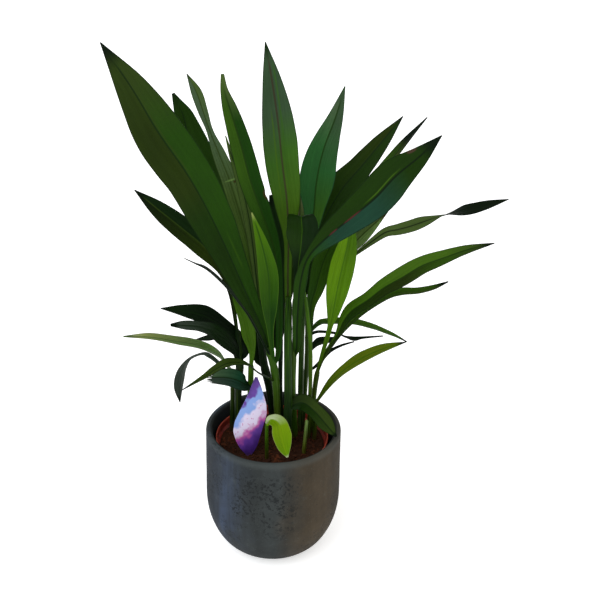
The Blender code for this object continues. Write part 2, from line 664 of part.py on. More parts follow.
clear_scene()
MATERIALS = {name: make_material(name) for name in COLOURS}
PIECES = [make_cover_pot(MATERIALS["pot"]), make_nursery_pot(MATERIALS["nursery"]),
          make_soil(MATERIALS["soil"]), make_label(MATERIALS["label"])]
for stem_name, (finish, foot, places, radius, leaves) in STEMS.items():
    PIECES.append(leafy_stem(stem_name, MATERIALS[finish], foot, places, radius, leaves))
PLANT = add_object("potted_palm", None)
for piece in PIECES:
    piece.parent = PLANT
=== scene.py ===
import json
import math
import random
from collections import namedtuple

import bpy
import numpy as np
from mathutils import Matrix, Vector, noise

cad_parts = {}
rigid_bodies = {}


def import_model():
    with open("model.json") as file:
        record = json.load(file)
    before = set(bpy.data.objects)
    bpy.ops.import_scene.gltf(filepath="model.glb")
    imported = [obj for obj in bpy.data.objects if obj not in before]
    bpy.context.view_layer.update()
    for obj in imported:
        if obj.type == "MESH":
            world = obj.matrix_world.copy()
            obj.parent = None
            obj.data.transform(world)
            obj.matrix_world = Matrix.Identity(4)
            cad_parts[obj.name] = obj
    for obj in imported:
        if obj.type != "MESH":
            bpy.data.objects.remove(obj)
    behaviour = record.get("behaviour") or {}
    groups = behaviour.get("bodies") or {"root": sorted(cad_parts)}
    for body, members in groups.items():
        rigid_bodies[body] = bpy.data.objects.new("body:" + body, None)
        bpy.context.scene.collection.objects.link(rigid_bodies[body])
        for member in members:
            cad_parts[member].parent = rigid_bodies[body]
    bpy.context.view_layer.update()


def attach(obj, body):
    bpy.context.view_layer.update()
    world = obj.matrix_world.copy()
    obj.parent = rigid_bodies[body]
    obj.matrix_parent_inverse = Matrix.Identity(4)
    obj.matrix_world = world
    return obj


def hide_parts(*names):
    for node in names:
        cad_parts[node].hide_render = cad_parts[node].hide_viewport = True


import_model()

# The studio: a pale floor under soft daylight from the left and a warmer, weaker lamp from the right.
# The camera stands in front of the plant and looks down on it, at the tilt of the photograph.
MM = 0.001
FLOOR_REACH = 9000.0
CAMERA_PLACE = (0.0254, -0.9149, 0.7552)
CAMERA_TILT = 63.31
CAMERA_ROLL = 1.2
CAMERA_LENS = 61.45
DAYLIGHT = (0.93, 0.97, 1.0)
LAMPLIGHT = (1.0, 0.93, 0.84)

scene = bpy.context.scene


def put_in(name, data):
    """A new object in the scene."""
    made = bpy.data.objects.new(name, data)
    scene.collection.objects.link(made)
    return made


def mesh_of(name, places, faces):
    """A mesh from places in millimetres."""
    mesh = bpy.data.meshes.new(name)
    mesh.from_pydata([tuple(place) for place in np.asarray(places) * MM], [], faces)
    return mesh


camera = put_in("plant_camera", bpy.data.cameras.new("plant_camera"))
camera.data.lens = CAMERA_LENS
camera.data.clip_end = 50.0
camera.matrix_world = (Matrix.Translation(CAMERA_PLACE)
                       @ Matrix.Rotation(math.radians(CAMERA_TILT), 4, "X")
                       @ Matrix.Rotation(math.radians(CAMERA_ROLL), 4, "Z"))
scene.camera = camera
scene.view_settings.view_transform = "Standard"


def soft_sun(name, towards, strength, colour, spread):
    """A wide, even light that shines in a direction."""
    light = bpy.data.lights.new(name, "SUN")
    light.energy = strength
    light.color = colour
    light.angle = math.radians(spread)
    put_in(name, light).rotation_euler = Vector(towards).to_track_quat("-Z", "Y").to_euler()


soft_sun("window_light", (0.55, 0.45, -0.75), 1.7, DAYLIGHT, 60.0)
soft_sun("room_lamp", (-0.7, 0.35, -0.6), 0.6, LAMPLIGHT, 80.0)

studio = bpy.data.worlds.new("studio")
studio.use_nodes = True
sky = studio.node_tree.nodes["Background"]
sky.inputs["Color"].default_value = (1.0, 1.0, 1.0, 1.0)
sky.inputs["Strength"].default_value = 0.6
scene.world = studio

floor_corners = [(x * FLOOR_REACH, y * FLOOR_REACH, 0) for x, y in ((-1, -1), (1, -1), (1, 1), (-1, 1))]
pale_floor = put_in("pale_floor", mesh_of("pale_floor", floor_corners, [(0, 1, 2, 3)]))
floor_paint = bpy.data.materials.new("pale_floor")
floor_paint.use_nodes = True
floor_shader = floor_paint.node_tree.nodes["Principled BSDF"]
for socket, value in (("Base Color", (0.9, 0.9, 0.9, 1.0)), ("Roughness", 0.9),
                      ("Emission Color", (1.0, 1.0, 1.0, 1.0)), ("Emission Strength", 0.5)):
    floor_shader.inputs[socket].default_value = value
pale_floor.data.materials.append(floor_paint)


# The cover pot: a thick-walled pot of dark fibre clay, cast in a mould and left unglazed. Its round
# belly runs down to a small flat foot, the rim is eased by hand, and the skin is mottled and pitted.
POT_HEIGHT = 145.0
POT_RIM_RADIUS = 72.0
POT_BELLY_RADIUS = 73.0
POT_BELLY_HEIGHT = 65.0
POT_FOOT_RADIUS = 34.0
POT_WALL = 7.0
POT_FLOOR = 10.0
POT_INNER_FLOOR_RADIUS = 44.0
POT_RIM_ROUNDING = 3.0
POT_SIDES = 160
POT_FOOT_EDGE = 2.0
POT_CURVE_STEPS = 28
POT_INNER_STEPS = 16
POT_RIM_STEPS = 6
POT_WALL_STEPS = (20, 10)
POT_DENT = 0.35
POT_DENT_SCALE = 0.045
POT_GRAIN = 0.12
POT_GRAIN_SCALE = 0.3
POT_LIP = 4.0
CLAY_GREY = "#2c3030"
# The slate and taupe tones are painted light: cool daylight on the pot's left side, warm lamplight on its
# right.
CLAY_SKYLIT_SLATE = "#343e50"
CLAY_LAMPLIT_TAUPE = "#3d3529"
CLAY_DARK = "#15191a"
CLAY_PALE = "#4d5351"
CLAY_INSIDE_SHADE = "#1c211e"


def tint(code):
    """A colour of light, ready for a shader, from its code."""
    parts = [int(code[i:i + 2], 16) / 255 for i in (1, 3, 5)]
    return (*[p / 12.92 if p <= 0.04045 else ((p + 0.055) / 1.055) ** 2.4 for p in parts], 1.0)


class Link:
    """One output in a finish; Python's operators on it add Math nodes, and node adds any other."""

    def __init__(self, tree, socket=None):
        self.tree = tree
        self.socket = socket

    def node(self, kind, settings, sockets, output=0):
        """Add a node: its settings first, then the values or links of its sockets."""
        made = self.tree.nodes.new("ShaderNode" + kind)
        for name, value in settings.items():
            if name == "stops":
                self.fill_ramp(made.color_ramp, value)
            else:
                setattr(made, name, value)
        for key, value in sockets.items():
            if isinstance(value, Link):
                self.tree.links.new(value.socket, made.inputs[key])
            else:
                made.inputs[key].default_value = value
        return Link(self.tree, made.outputs[output])

    @staticmethod
    def fill_ramp(ramp, stops):
        while len(ramp.elements) < len(stops):
            ramp.elements.new(1.0)
        for element, (place, code) in zip(ramp.elements, stops.items()):
            element.position = place
            element.color = tint(code)

    def math(self, operation, *values):
        return self.node("Math", {"operation": operation}, dict(enumerate(values)))

    def __add__(self, other):
        return self.math("ADD", self, other)

    def __sub__(self, other):
        return self.math("SUBTRACT", self, other)

    def __rsub__(self, other):
        return self.math("SUBTRACT", other, self)

    def __mul__(self, other):
        return self.math("MULTIPLY", self, other)

    __radd__ = __add__
    __rmul__ = __mul__

    def __abs__(self):
        return self.math("ABSOLUTE", self)

    def rise(self, low, high):
        """A smooth mask from 0 at low to 1 at high; low may be the larger."""
        return self.node("MapRange", {"interpolation_type": "SMOOTHSTEP"}, {0: self, 1: low, 2: high})

    def ramp(self, stops):
        """The colour at this value, from a table of colour codes at their places."""
        return self.node("ValToRGB", {"stops": stops}, {0: self})

    def over(self, below, above):
        """With this link as the mask, lay one colour over another."""
        return self.node("Mix", {"data_type": "RGBA"}, {0: self, 6: below, 7: above}, output=2)

    def coated(self, mask, code):
        """This colour, with another laid over it where the mask is 1."""
        return mask.over(self, tint(code))

    def lit(self, factor):
        """This colour, made lighter or darker by a factor."""
        return self.node("VectorMath", {"operation": "SCALE"}, {0: self, 3: factor})

    def stretched(self, scale):
        """This place, with its three directions scaled."""
        return self.node("VectorMath", {"operation": "MULTIPLY"}, {0: self, 1: scale})

    def cloudy(self, scale, detail=3.0, roughness=0.55):
        """Soft random mottling at this place."""
        sockets = {"Vector": self, "Scale": scale, "Detail": detail, "Roughness": roughness}
        return self.node("TexNoise", {}, sockets)

    def part(self, index):
        """One direction of this place: 0, 1 or 2."""
        return self.node("SeparateXYZ", {}, {0: self}, output=index)

    def point(self, x, y, z):
        return self.node("CombineXYZ", {}, {0: x, 1: y, 2: z})

    def object_place(self):
        return self.node("TexCoord", {}, {}, output=3)

    def marks(self, name):
        """The pairs of numbers that a piece keeps for its vertices under a name."""
        return self.node("UVMap", {"uv_map": name}, {})


def new_finish(name, roughness, shine):
    """A material with a set roughness and shine, and a link to start its finish from."""
    material = bpy.data.materials.new(name)
    material.use_nodes = True
    shader = material.node_tree.nodes["Principled BSDF"]
    shader.inputs["Roughness"].default_value = roughness
    shader.inputs["Specular IOR Level"].default_value = shine
    return material, Link(material.node_tree)


def lay_on(material, colour, roughness, relief, depth):
    """Put colour, roughness and relief on a material; depth is the relief's height in metres."""
    shader = material.node_tree.nodes["Principled BSDF"]
    bump = colour.node("Bump", {}, {"Strength": 1.0, "Distance": depth, "Height": relief})
    for link, socket in ((colour, "Base Color"), (roughness, "Roughness"), (bump, "Normal")):
        colour.tree.links.new(link.socket, shader.inputs[socket])
    return material


def add_piece(name, places, faces, material, slot, *nodes, sharp=50.0, **marks):
    """A piece that rides on the part and stands for CAD nodes; marks are pairs of numbers for its
    vertices, kept in UV maps for its finish to read."""
    mesh = mesh_of(name, places, faces)
    mesh.validate()
    mesh.shade_smooth()
    mesh.set_sharp_from_angle(angle=math.radians(sharp))
    mesh.materials.append(material)
    piece = put_in(name, mesh)
    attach(piece, "root")
    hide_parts(*nodes)
    corners = np.zeros(len(mesh.loops), dtype=np.int32)
    mesh.loops.foreach_get("vertex_index", corners)
    for mark, pairs in marks.items():
        layer = mesh.uv_layers.new(name=mark, do_init=False)
        layer.uv.foreach_set("vector", np.asarray(pairs, dtype=np.float32)[corners].ravel())
    return piece


def turned(profile, sides, centre=(0.0, 0.0), uneven=None):
    """Places and faces of a (radius, height) profile turned round; its ends lie on the axis."""
    places, rings, faces = [], [], []
    for radius, height in profile:
        count = sides if radius else 1
        rings.append([len(places) + side % count for side in range(sides)])
        for side in range(count):
            angle = 2 * math.pi * side / sides
            place = Vector((radius * math.cos(angle), radius * math.sin(angle), height))
            place = uneven(place, radius) if uneven else place
            places.append((place.x + centre[0], place.y + centre[1], place.z))
    for lower, upper in zip(rings, rings[1:]):
        for side in range(sides):
            after = (side + 1) % sides
            corners = (lower[side], lower[after], upper[after], upper[side])
            faces.append(tuple(dict.fromkeys(corners)))
    return places, faces


def arc(centre, reach, start, end, steps):
    """Points of a profile on an ellipse, from one angle to another in degrees."""
    angles = [math.radians(start + (end - start) * step / steps) for step in range(steps + 1)]
    return [(centre[0] + reach[0] * math.cos(angle), centre[1] + reach[1] * math.sin(angle))
            for angle in angles]


def straight(start, end, steps):
    """Points between two points of a profile, without the ends."""
    return [(start[0] + (end[0] - start[0]) * i / steps, start[1] + (end[1] - start[1]) * i / steps)
            for i in range(1, steps)]


def pot_profile():
    inner_belly, inner_rim = POT_BELLY_RADIUS - POT_WALL, POT_RIM_RADIUS - POT_WALL
    outer = arc((POT_FOOT_RADIUS, POT_BELLY_HEIGHT), (POT_BELLY_RADIUS - POT_FOOT_RADIUS, POT_BELLY_HEIGHT),
                -90.0, 0.0, POT_CURVE_STEPS)
    inner = arc((POT_INNER_FLOOR_RADIUS, POT_BELLY_HEIGHT),
                (inner_belly - POT_INNER_FLOOR_RADIUS, POT_BELLY_HEIGHT - POT_FLOOR),
                -90.0, 0.0, POT_INNER_STEPS)
    level, rounding = POT_HEIGHT - POT_RIM_ROUNDING, (POT_RIM_ROUNDING, POT_RIM_ROUNDING)
    rim = (arc((POT_RIM_RADIUS - POT_RIM_ROUNDING, level), rounding, 0.0, 90.0, POT_RIM_STEPS)
           + arc((inner_rim + POT_RIM_ROUNDING, level), rounding, 90.0, 180.0, POT_RIM_STEPS))
    foot = [(0.0, 0.0), (POT_FOOT_RADIUS - POT_FOOT_EDGE, 0.0)]
    return (foot + outer + straight(outer[-1], rim[0], POT_WALL_STEPS[0]) + rim
            + straight(rim[-1], inner[-1], POT_WALL_STEPS[1]) + inner[::-1] + [(0.0, POT_FLOOR)])


def hand_eased(place, radius):
    """The cast skin is slightly uneven, only ever inwards, and the rim is not quite level."""
    if place.z < 1.0 or radius < 1.0:
        return place
    dent = 0.5 + 0.5 * noise.noise(place * POT_DENT_SCALE)
    fine = 0.5 + 0.5 * noise.noise(place * POT_GRAIN_SCALE)
    inward = (POT_DENT * dent + POT_GRAIN * fine) / radius
    lower = POT_DENT * dent if place.z > POT_HEIGHT - POT_LIP else 0.0
    return Vector((place.x * (1 - inward), place.y * (1 - inward), place.z - lower))


def inner_wall(places):
    """1 for the places of the pot's inner wall and floor, which get painted shade, 0 for the rest."""
    values = []
    for x, y, z in places:
        radius = math.hypot(x, y)
        inner = POT_INNER_FLOOR_RADIUS + (POT_RIM_RADIUS - POT_INNER_FLOOR_RADIUS) * min(1.0, z / 40.0)
        inside = z > POT_FLOOR - 1.0 and radius < inner - POT_WALL + 2.5
        values.append((1.0 if inside else 0.0, 0.0))
    return values


def clay_finish():
    material, start = new_finish("fibre_clay", 0.85, 0.16)
    place = start.object_place()
    x, y, z = place.part(0), place.part(1), place.part(2)
    patches = place.cloudy(22.0)
    mottling = place.cloudy(75.0, 5.0, 0.65)
    runs = place.stretched((1.0, 1.0, 0.08)).cloudy(48.0, 3.0)
    # Painted light: the left side is tinted slate as if lit by cool daylight, the right side taupe as if
    # lit by the warm lamp.
    skylit_slate = (x + patches * 0.05).rise(0.012, -0.042) * (0.45 + runs.rise(0.42, 0.58) * 0.55)
    lamplit_taupe = (x + patches * 0.04).rise(0.022, 0.062)
    colour = skylit_slate.over(tint(CLAY_GREY), tint(CLAY_SKYLIT_SLATE))
    colour = colour.coated(lamplit_taupe, CLAY_LAMPLIT_TAUPE)
    colour = colour.lit(patches * 0.5 + mottling * 0.85 + runs * 1.2 - 0.31)
    # Painted shade: the pot's far left and right flanks are darkened.
    edge = (x + patches * 0.01).rise(-0.05, -0.068) * 0.8 + (x - patches * 0.01).rise(0.052, 0.07) * 0.4
    colour = colour.coated(edge, CLAY_DARK)
    # Painted shade: the belly darkens towards the foot, on its underside.
    low = z.rise(0.055, 0.0) * 0.35
    colour = colour.coated(low, CLAY_DARK)
    band = z.rise(0.136, 0.144) * 0.35 + mottling.rise(0.58, 0.74) * 0.2
    colour = colour.coated(band, CLAY_PALE)
    front = abs(x + 0.005).rise(0.045, 0.02) * abs(z - 0.1).rise(0.04, 0.02) * y.rise(-0.02, -0.05)
    clusters = place.cloudy(26.0, 2.0).rise(0.5, 0.62) * 0.6 + front * place.cloudy(55.0).rise(0.38, 0.46)
    pits = place.cloudy(300.0, 3.0, 0.65).rise(0.53, 0.59)
    grit = place.stretched((1.0, 1.0, 0.9)).cloudy(620.0, 1.0).rise(0.68, 0.75)
    colour = colour.coated(pits * clusters * 0.7, CLAY_DARK)
    colour = colour.coated(grit * 0.3, CLAY_PALE)
    # Painted shade: the inner wall and floor are darkened as if in the pot's own shadow.
    inside = start.marks("inside").part(0)
    colour = colour.coated(inside * 0.85, CLAY_INSIDE_SHADE)
    relief = mottling * 0.5 + patches * 0.4 - pits * clusters * 0.9 + grit * 0.15
    return lay_on(material, colour, 0.74 + mottling * 0.2, relief, 0.0007)


pot_places, pot_faces = turned(pot_profile(), POT_SIDES, uneven=hand_eased)
add_piece("cover_pot_clay", pot_places, pot_faces, clay_finish(), "cover_pot", "cover_pot",
          inside=inner_wall(pot_places))


# The nursery pot: thin terracotta-red plastic, moulded in one piece with a stepped rim band and five
# drain holes. It stands loose on the floor of the cover pot, a little left of its middle.
NURSERY_RIM_RADIUS = 60.0
NURSERY_RIM_HEIGHT = 133.0
NURSERY_RIM_BAND = 11.0
NURSERY_STEP = 3.0
NURSERY_FOOT_RADIUS = 42.0
NURSERY_WALL = 1.3
NURSERY_SHIFT = (-1.5, 0.0)
NURSERY_SIDES = 128
NURSERY_WALL_STEPS = (12, 8)
GAP = 0.3
NURSERY_FOOT = POT_FLOOR + GAP
NURSERY_SHOULDER = NURSERY_RIM_HEIGHT - NURSERY_RIM_BAND
DRAIN_HOLES = 5
DRAIN_RADIUS = 4.5
DRAIN_CIRCLE = 26.0
DRAIN_SIDES = 24
TERRACOTTA = "#952f1f"
TERRACOTTA_DARK = "#591b12"
TERRACOTTA_WORN_LIT = "#b34931"
NURSERY_SOILED = "#24100a"


def nursery_inner_radius(height):
    """Inside radius of the nursery pot's tapered wall at a height."""
    share = (height - NURSERY_FOOT) / (NURSERY_SHOULDER - NURSERY_FOOT)
    outer = NURSERY_FOOT_RADIUS + (NURSERY_RIM_RADIUS - NURSERY_STEP - NURSERY_FOOT_RADIUS) * share
    return outer - NURSERY_WALL


def nursery_profile():
    foot, band, top = NURSERY_FOOT, NURSERY_SHOULDER, NURSERY_RIM_HEIGHT
    rim, wall, floor = NURSERY_RIM_RADIUS, NURSERY_WALL, NURSERY_FOOT + NURSERY_WALL
    outer_foot, under_step = (NURSERY_FOOT_RADIUS, foot + 1.0), (rim - NURSERY_STEP, band)
    inner_step, inner_foot = (nursery_inner_radius(band), band), (nursery_inner_radius(floor), floor)
    return ([(0.0, foot), (NURSERY_FOOT_RADIUS - 1.0, foot), (NURSERY_FOOT_RADIUS - 0.3, foot + 0.3)]
            + [outer_foot] + straight(outer_foot, under_step, NURSERY_WALL_STEPS[0]) + [under_step]
            + [(rim - 0.5, band + wall - 0.3), (rim - 0.3, band + wall + 0.3), (rim - 0.3, top - 2.2),
               (rim, top - 1.8), (rim, top - 0.4), (rim - 0.4, top), (rim - wall + 0.4, top),
               (rim - wall, top - 0.4), (rim - wall, band + 2 * wall)]
            + [inner_step] + straight(inner_step, inner_foot, NURSERY_WALL_STEPS[1])
            + [inner_foot, (0.0, floor)])


def in_nursery(reach, angle):
    """A point of the nursery pot's plan, from its own middle."""
    return NURSERY_SHIFT[0] + reach * math.cos(angle), NURSERY_SHIFT[1] + reach * math.sin(angle)


def drill(piece, radius, centres, bottom, top):
    """Cut round upright holes through a piece."""
    cutters = bpy.data.collections.new("drills")
    for centre in centres:
        profile = [(0.0, bottom), (radius, bottom), (radius, top), (0.0, top)]
        places, faces = turned(profile, DRAIN_SIDES, centre)
        cutters.objects.link(bpy.data.objects.new("drill", mesh_of("drill", places, faces)))
    cut = piece.modifiers.new("drill", "BOOLEAN")
    cut.solver = "EXACT"
    cut.operand_type = "COLLECTION"
    cut.collection = cutters
    bpy.context.view_layer.update()
    drilled = bpy.data.meshes.new_from_object(piece.evaluated_get(bpy.context.evaluated_depsgraph_get()))
    piece.modifiers.clear()
    piece.data = drilled
    for cutter in list(cutters.objects):
        bpy.data.objects.remove(cutter)
    bpy.data.collections.remove(cutters)


def plastic_finish():
    material, start = new_finish("terracotta_plastic", 0.5, 0.35)
    place = start.object_place()
    height = place.part(2)
    dust = place.cloudy(140.0, 4.0, 0.7)
    scuffs = place.stretched((1.0, 1.0, 4.0)).cloudy(60.0, 3.0)
    colour = dust.rise(0.45, 0.75).over(tint(TERRACOTTA), tint(TERRACOTTA_DARK))
    # The rim top is lighter: partly scuffed wear, partly a painted highlight where light falls on it.
    worn_and_lit = height.rise(0.130, 0.133) * (0.4 + scuffs * 0.6)
    colour = colour.coated(worn_and_lit, TERRACOTTA_WORN_LIT)
    soiled = height.rise(0.1305, 0.126) * scuffs.rise(0.35, 0.6) * 0.35
    colour = colour.coated(soiled, NURSERY_SOILED)
    return lay_on(material, colour, 0.42 + dust * 0.3, scuffs * 0.5 + dust * 0.5, 0.0003)


nursery_places, nursery_faces = turned(nursery_profile(), NURSERY_SIDES, NURSERY_SHIFT)
nursery_pot = add_piece("nursery_pot_shell", nursery_places, nursery_faces, plastic_finish(), "nursery_pot",
                        "nursery_pot", sharp=35.0)
drain_places = [in_nursery(DRAIN_CIRCLE, 2 * math.pi * hole / DRAIN_HOLES) for hole in range(DRAIN_HOLES)]
drill(nursery_pot, DRAIN_RADIUS, drain_places, POT_FLOOR - 1.0, POT_FLOOR + 4.0)


# The soil: a firm plug of dark reddish potting compost that fills the nursery pot to just below its
# rim. Its lumpy top carries loose bark chips, crumbs and coir fibres, pressed in round the stems.
SOIL_TOP = 125.0
SOIL_CROWN = 1.2
SOIL_SIDES = 120
SOIL_RINGS = 34
CHIPS = 760
CHIP_MARGIN = 2.5
CHIP_LEAST = (0.7, 0.5, 0.35)
CHIP_SPREAD = (2.6, 1.2, 0.5)
CHIP_TILT = (0.35, 0.3)
FIBRES = 110
FIBRE_MARGIN = 8.0
FIBRE_KNOTS = 7
FIBRE_STEP = 1.7
FIBRE_RADIUS = 0.28
SOIL_DARK = "#26140a"
SOIL_BROWN = "#3f2110"
SOIL_RED = "#562b16"
BARK_PALE = "#5c3b28"


def soil_surface(x, y):
    """Height of the lumpy top of the soil."""
    reach = math.hypot(x - NURSERY_SHIFT[0], y - NURSERY_SHIFT[1]) / nursery_inner_radius(SOIL_TOP)
    lumps = noise.noise(Vector((x, y, 3.0)) * 0.09) * 1.2 + noise.noise(Vector((x, y, 9.0)) * 0.35) * 0.6
    return SOIL_TOP - SOIL_CROWN * reach ** 2 + lumps


def tube_faces(first, rings, sides):
    """Faces of a closed tube, whose places run ring by ring from the first one."""
    last = first + (rings - 1) * sides
    faces = [tuple(range(first, first + sides))[::-1], tuple(range(last, last + sides))]
    for ring in range(first, last, sides):
        for side in range(sides):
            a, b = ring + side, ring + (side + 1) % sides
            faces.append((a, b, b + sides, a + sides))
    return faces


def compost_mesh():
    """Places, faces and shades of the plug, its chips and its fibres."""
    floor = NURSERY_FOOT + NURSERY_WALL + GAP
    top_reach = nursery_inner_radius(NURSERY_SHOULDER) - GAP
    profile = [(0.0, floor), (nursery_inner_radius(floor) - GAP, floor), (top_reach, NURSERY_SHOULDER)]
    profile += [(top_reach * (1 - ring / SOIL_RINGS), SOIL_TOP) for ring in range(SOIL_RINGS)]
    profile.append((0.0, SOIL_TOP))

    def lumpy(place, radius):
        if place.z < SOIL_TOP:
            return place
        x, y = place.x + NURSERY_SHIFT[0], place.y + NURSERY_SHIFT[1]
        return Vector((place.x, place.y, soil_surface(x, y)))

    places, faces = turned(profile, SOIL_SIDES, NURSERY_SHIFT, lumpy)
    shades = [0.25] * len(places)
    chance = random.Random(12)
    corners = [(x, y, z) for z in (-1, 1) for x, y in ((-1, -1), (1, -1), (1, 1), (-1, 1))]
    for _ in range(CHIPS):
        reach = (top_reach - CHIP_MARGIN) * math.sqrt(chance.random())
        x, y = in_nursery(reach, chance.uniform(0, 2 * math.pi))
        grain = chance.random() ** 2
        size = Vector([least + spread * grain for least, spread in zip(CHIP_LEAST, CHIP_SPREAD)])
        turn = (Matrix.Rotation(chance.uniform(0, math.pi), 3, "Z")
                @ Matrix.Rotation(chance.gauss(0, CHIP_TILT[0]), 3, "X")
                @ Matrix.Rotation(chance.gauss(0, CHIP_TILT[1]), 3, "Y"))
        centre = Vector((x, y, soil_surface(x, y) + size.z * 0.5))
        base, shade = len(places), chance.random()
        for corner in corners:
            rough = Vector([c * s * chance.uniform(0.55, 1.0) for c, s in zip(corner, size)])
            places.append(tuple(centre + turn @ rough))
        faces += tube_faces(base, 2, 4)
        shades += [shade] * len(corners)
    for _ in range(FIBRES):
        reach = (top_reach - FIBRE_MARGIN) * math.sqrt(chance.random())
        place = Vector((*in_nursery(reach, chance.uniform(0, 2 * math.pi)), 0))
        heading, bend = chance.uniform(0, 2 * math.pi), chance.gauss(0, 0.25)
        base, shade = len(places), chance.uniform(0.55, 1.0)
        for knot in range(FIBRE_KNOTS):
            along = Vector((math.cos(heading), math.sin(heading), 0.0))
            across = Vector((-along.y, along.x, 0.0)) * FIBRE_RADIUS * (1.0 - 0.1 * knot)
            lift = soil_surface(place.x, place.y) + 0.5 + 0.5 * math.sin(knot)
            middle = Vector((place.x, place.y, lift))
            places += [tuple(middle - across), tuple(middle + across), tuple(middle + Vector((0, 0, 0.4)))]
            place = place + along * FIBRE_STEP
            heading += bend
        faces += tube_faces(base, FIBRE_KNOTS, 3)
        shades += [shade] * 3 * FIBRE_KNOTS
    return places, faces, shades


def compost_finish():
    material, start = new_finish("compost", 0.92, 0.12)
    place = start.object_place()
    shade = start.marks("shade").part(0)
    crumbs = place.cloudy(420.0, 4.0, 0.7)
    damp = place.cloudy(45.0, 2.0)
    colour = (shade * 0.8 + crumbs * 0.35 - 0.1).ramp(
        {0.0: SOIL_DARK, 0.45: SOIL_BROWN, 0.8: SOIL_RED, 1.0: BARK_PALE})
    colour = colour.coated(damp.rise(0.42, 0.6) * 0.6, SOIL_DARK)
    grain = place.stretched((0.4, 1.0, 1.0)).cloudy(900.0, 2.0)
    return lay_on(material, colour, 0.8 + crumbs * 0.2, crumbs * 0.7 + grain * 0.3, 0.0009)


soil_places, soil_faces, soil_shades = compost_mesh()
add_piece("compost", soil_places, soil_faces, compost_finish(), "soil", "soil", sharp=40.0,
          shade=[(shade, 0.0) for shade in soil_shades])


# The stem of the great leaf: a green stalk of rolled leaf sheaths, which grows out of the soil and
# opens into five leaves. A blade is one whole lance of leaf tissue with a rib and fine long veins.
STEM_DEPTH = 20.0
STEM_COLLAR = 3.0
STEM_TAPER = 0.8
SHEATH_LENGTH = 38.0
SHEATH_SWELL = 0.09
STEM_SIDES = 20
STEM_RINGS = 46
ROUTE_STEPS = 16
STEM_END = 0.93
STEM_RIDGES = 5
STEM_RIDGE = 0.035
STEM_TWIST = 0.02
STALK_WIDTH = 3.6
STALK_THICKNESS = 2.4
STALK_SHARE = 0.22
BLADE_THICKNESS = 0.5
TIP_WIDTH = 0.5
FULL_RIPPLE = 8.0
RIPPLES = 2.5
BLADE_ROWS = 76
BLADE_FOLD = 0.22
BLADE_SWELL = 0.035
SWELL_WAVES = (3, 5, 8, 13)
PLEATS = 5
RIB_HEIGHT = 0.9
RIB_GROOVE = 0.4
LEAF_SHINE = 0.05
STEM_SHINE = 0.08
STEM_HUSK = "#3a2412"
HALF_COLUMNS = (0.0, 0.03, 0.08, 0.15, 0.24, 0.34, 0.45, 0.56, 0.67, 0.78, 0.87, 0.94, 0.98, 1.0)
TO_CAMERA = [(0.0, -0.9, 0.45)]
UPWARD = [(0.1, -0.1, 1.0)]
# The slate tone is a painted reflection of the sky on the upper parts of leaves, and the teal tone is
# partly a leaf's own blue-green and partly painted sky reflection.
TONES = dict(
    ink="#041103", night="#0b1f05", bronze="#1f2e04", umber="#2f2204", deep="#152d02", forest="#1b3a03",
    bottle="#113301", moss="#294806", meadow="#305517", grass="#3b5b10", skylit_slate="#30452d", mist="#405439",
    teal="#255527", sea="#18412b", pine="#183829", sage="#5d793d", olive="#3f5324", drab="#28390e",
    lime="#446a03", spring="#648205", leek="#345803", bud="#507600", clover="#608a38", fern="#4d5f06",
    plum="#491e20", cocoa="#402f24", straw="#7e894b", pale="#97a57b", bark="#33291f", rose="#69634d",
    khaki="#2d3e04", ash="#353f36",
)

# A leaf leaves its stem at the height root and runs through its sections, each a point of the rib and
# the width there. left and right are the tones of its two halves at shares of its length, partly their
# own colour and partly painted shade of the fold, and faces are the ways its upper side looks. Glints
# are painted highlight lines and spots are marks, both on the halves; notches are bitten from a margin.
Leaf = namedtuple(
    "Leaf", "name root sections left right faces rib rib_width edge edge_width tip tip_from wave pleat "
    "streaks under glints spots notches jag",
    defaults=(None, TO_CAMERA, "night", 1.3, "ink", 1.0, "ink", 0.93, 0.0, 0.35, 0.3, "olive",
              (), (), (), 0.0))


def smooth_route(points, count):
    """Points spaced evenly along the smooth curve through the given points or sections."""
    padded = [points[0] * 2 - points[1]] + list(points) + [points[-1] * 2 - points[-2]]
    fine = []
    for before, start, end, after in zip(padded, padded[1:], padded[2:], padded[3:]):
        for step in range(ROUTE_STEPS):
            t = step / ROUTE_STEPS
            fine.append(0.5 * (2 * start + (end - before) * t
                               + (2 * before - 5 * start + 4 * end - after) * t ** 2
                               + (3 * start - before - 3 * end + after) * t ** 3))
    fine.append(points[-1])
    lengths = [0.0]
    for a, b in zip(fine, fine[1:]):
        lengths.append(lengths[-1] + (b.to_3d() - a.to_3d()).length)
    route = []
    index = 0
    for number in range(count):
        target = lengths[-1] * number / (count - 1)
        while index < len(fine) - 2 and lengths[index + 1] < target:
            index += 1
        share = (target - lengths[index]) / (lengths[index + 1] - lengths[index])
        route.append(fine[index].lerp(fine[index + 1], share))
    return route


def tangents(route):
    ahead = route[1:] + [route[-1] * 2 - route[-2]]
    behind = [route[0] * 2 - route[1]] + route[:-1]
    return [(b - a).normalized() for a, b in zip(behind, ahead)]


def point_at_height(route, height):
    """The point of a stem's centre line at a height."""
    for lower, upper in zip(route, route[1:]):
        if lower.z <= height <= upper.z:
            return lower.lerp(upper, (height - lower.z) / (upper.z - lower.z))
    return route[-1].copy()


def face_at(faces, share):
    """The way the upper side looks at a share of the leaf's length."""
    place = share * (len(faces) - 1)
    index = min(int(place), max(len(faces) - 2, 0))
    after = min(index + 1, len(faces) - 1)
    return Vector(faces[index]).normalized().lerp(Vector(faces[after]).normalized(), place - index)


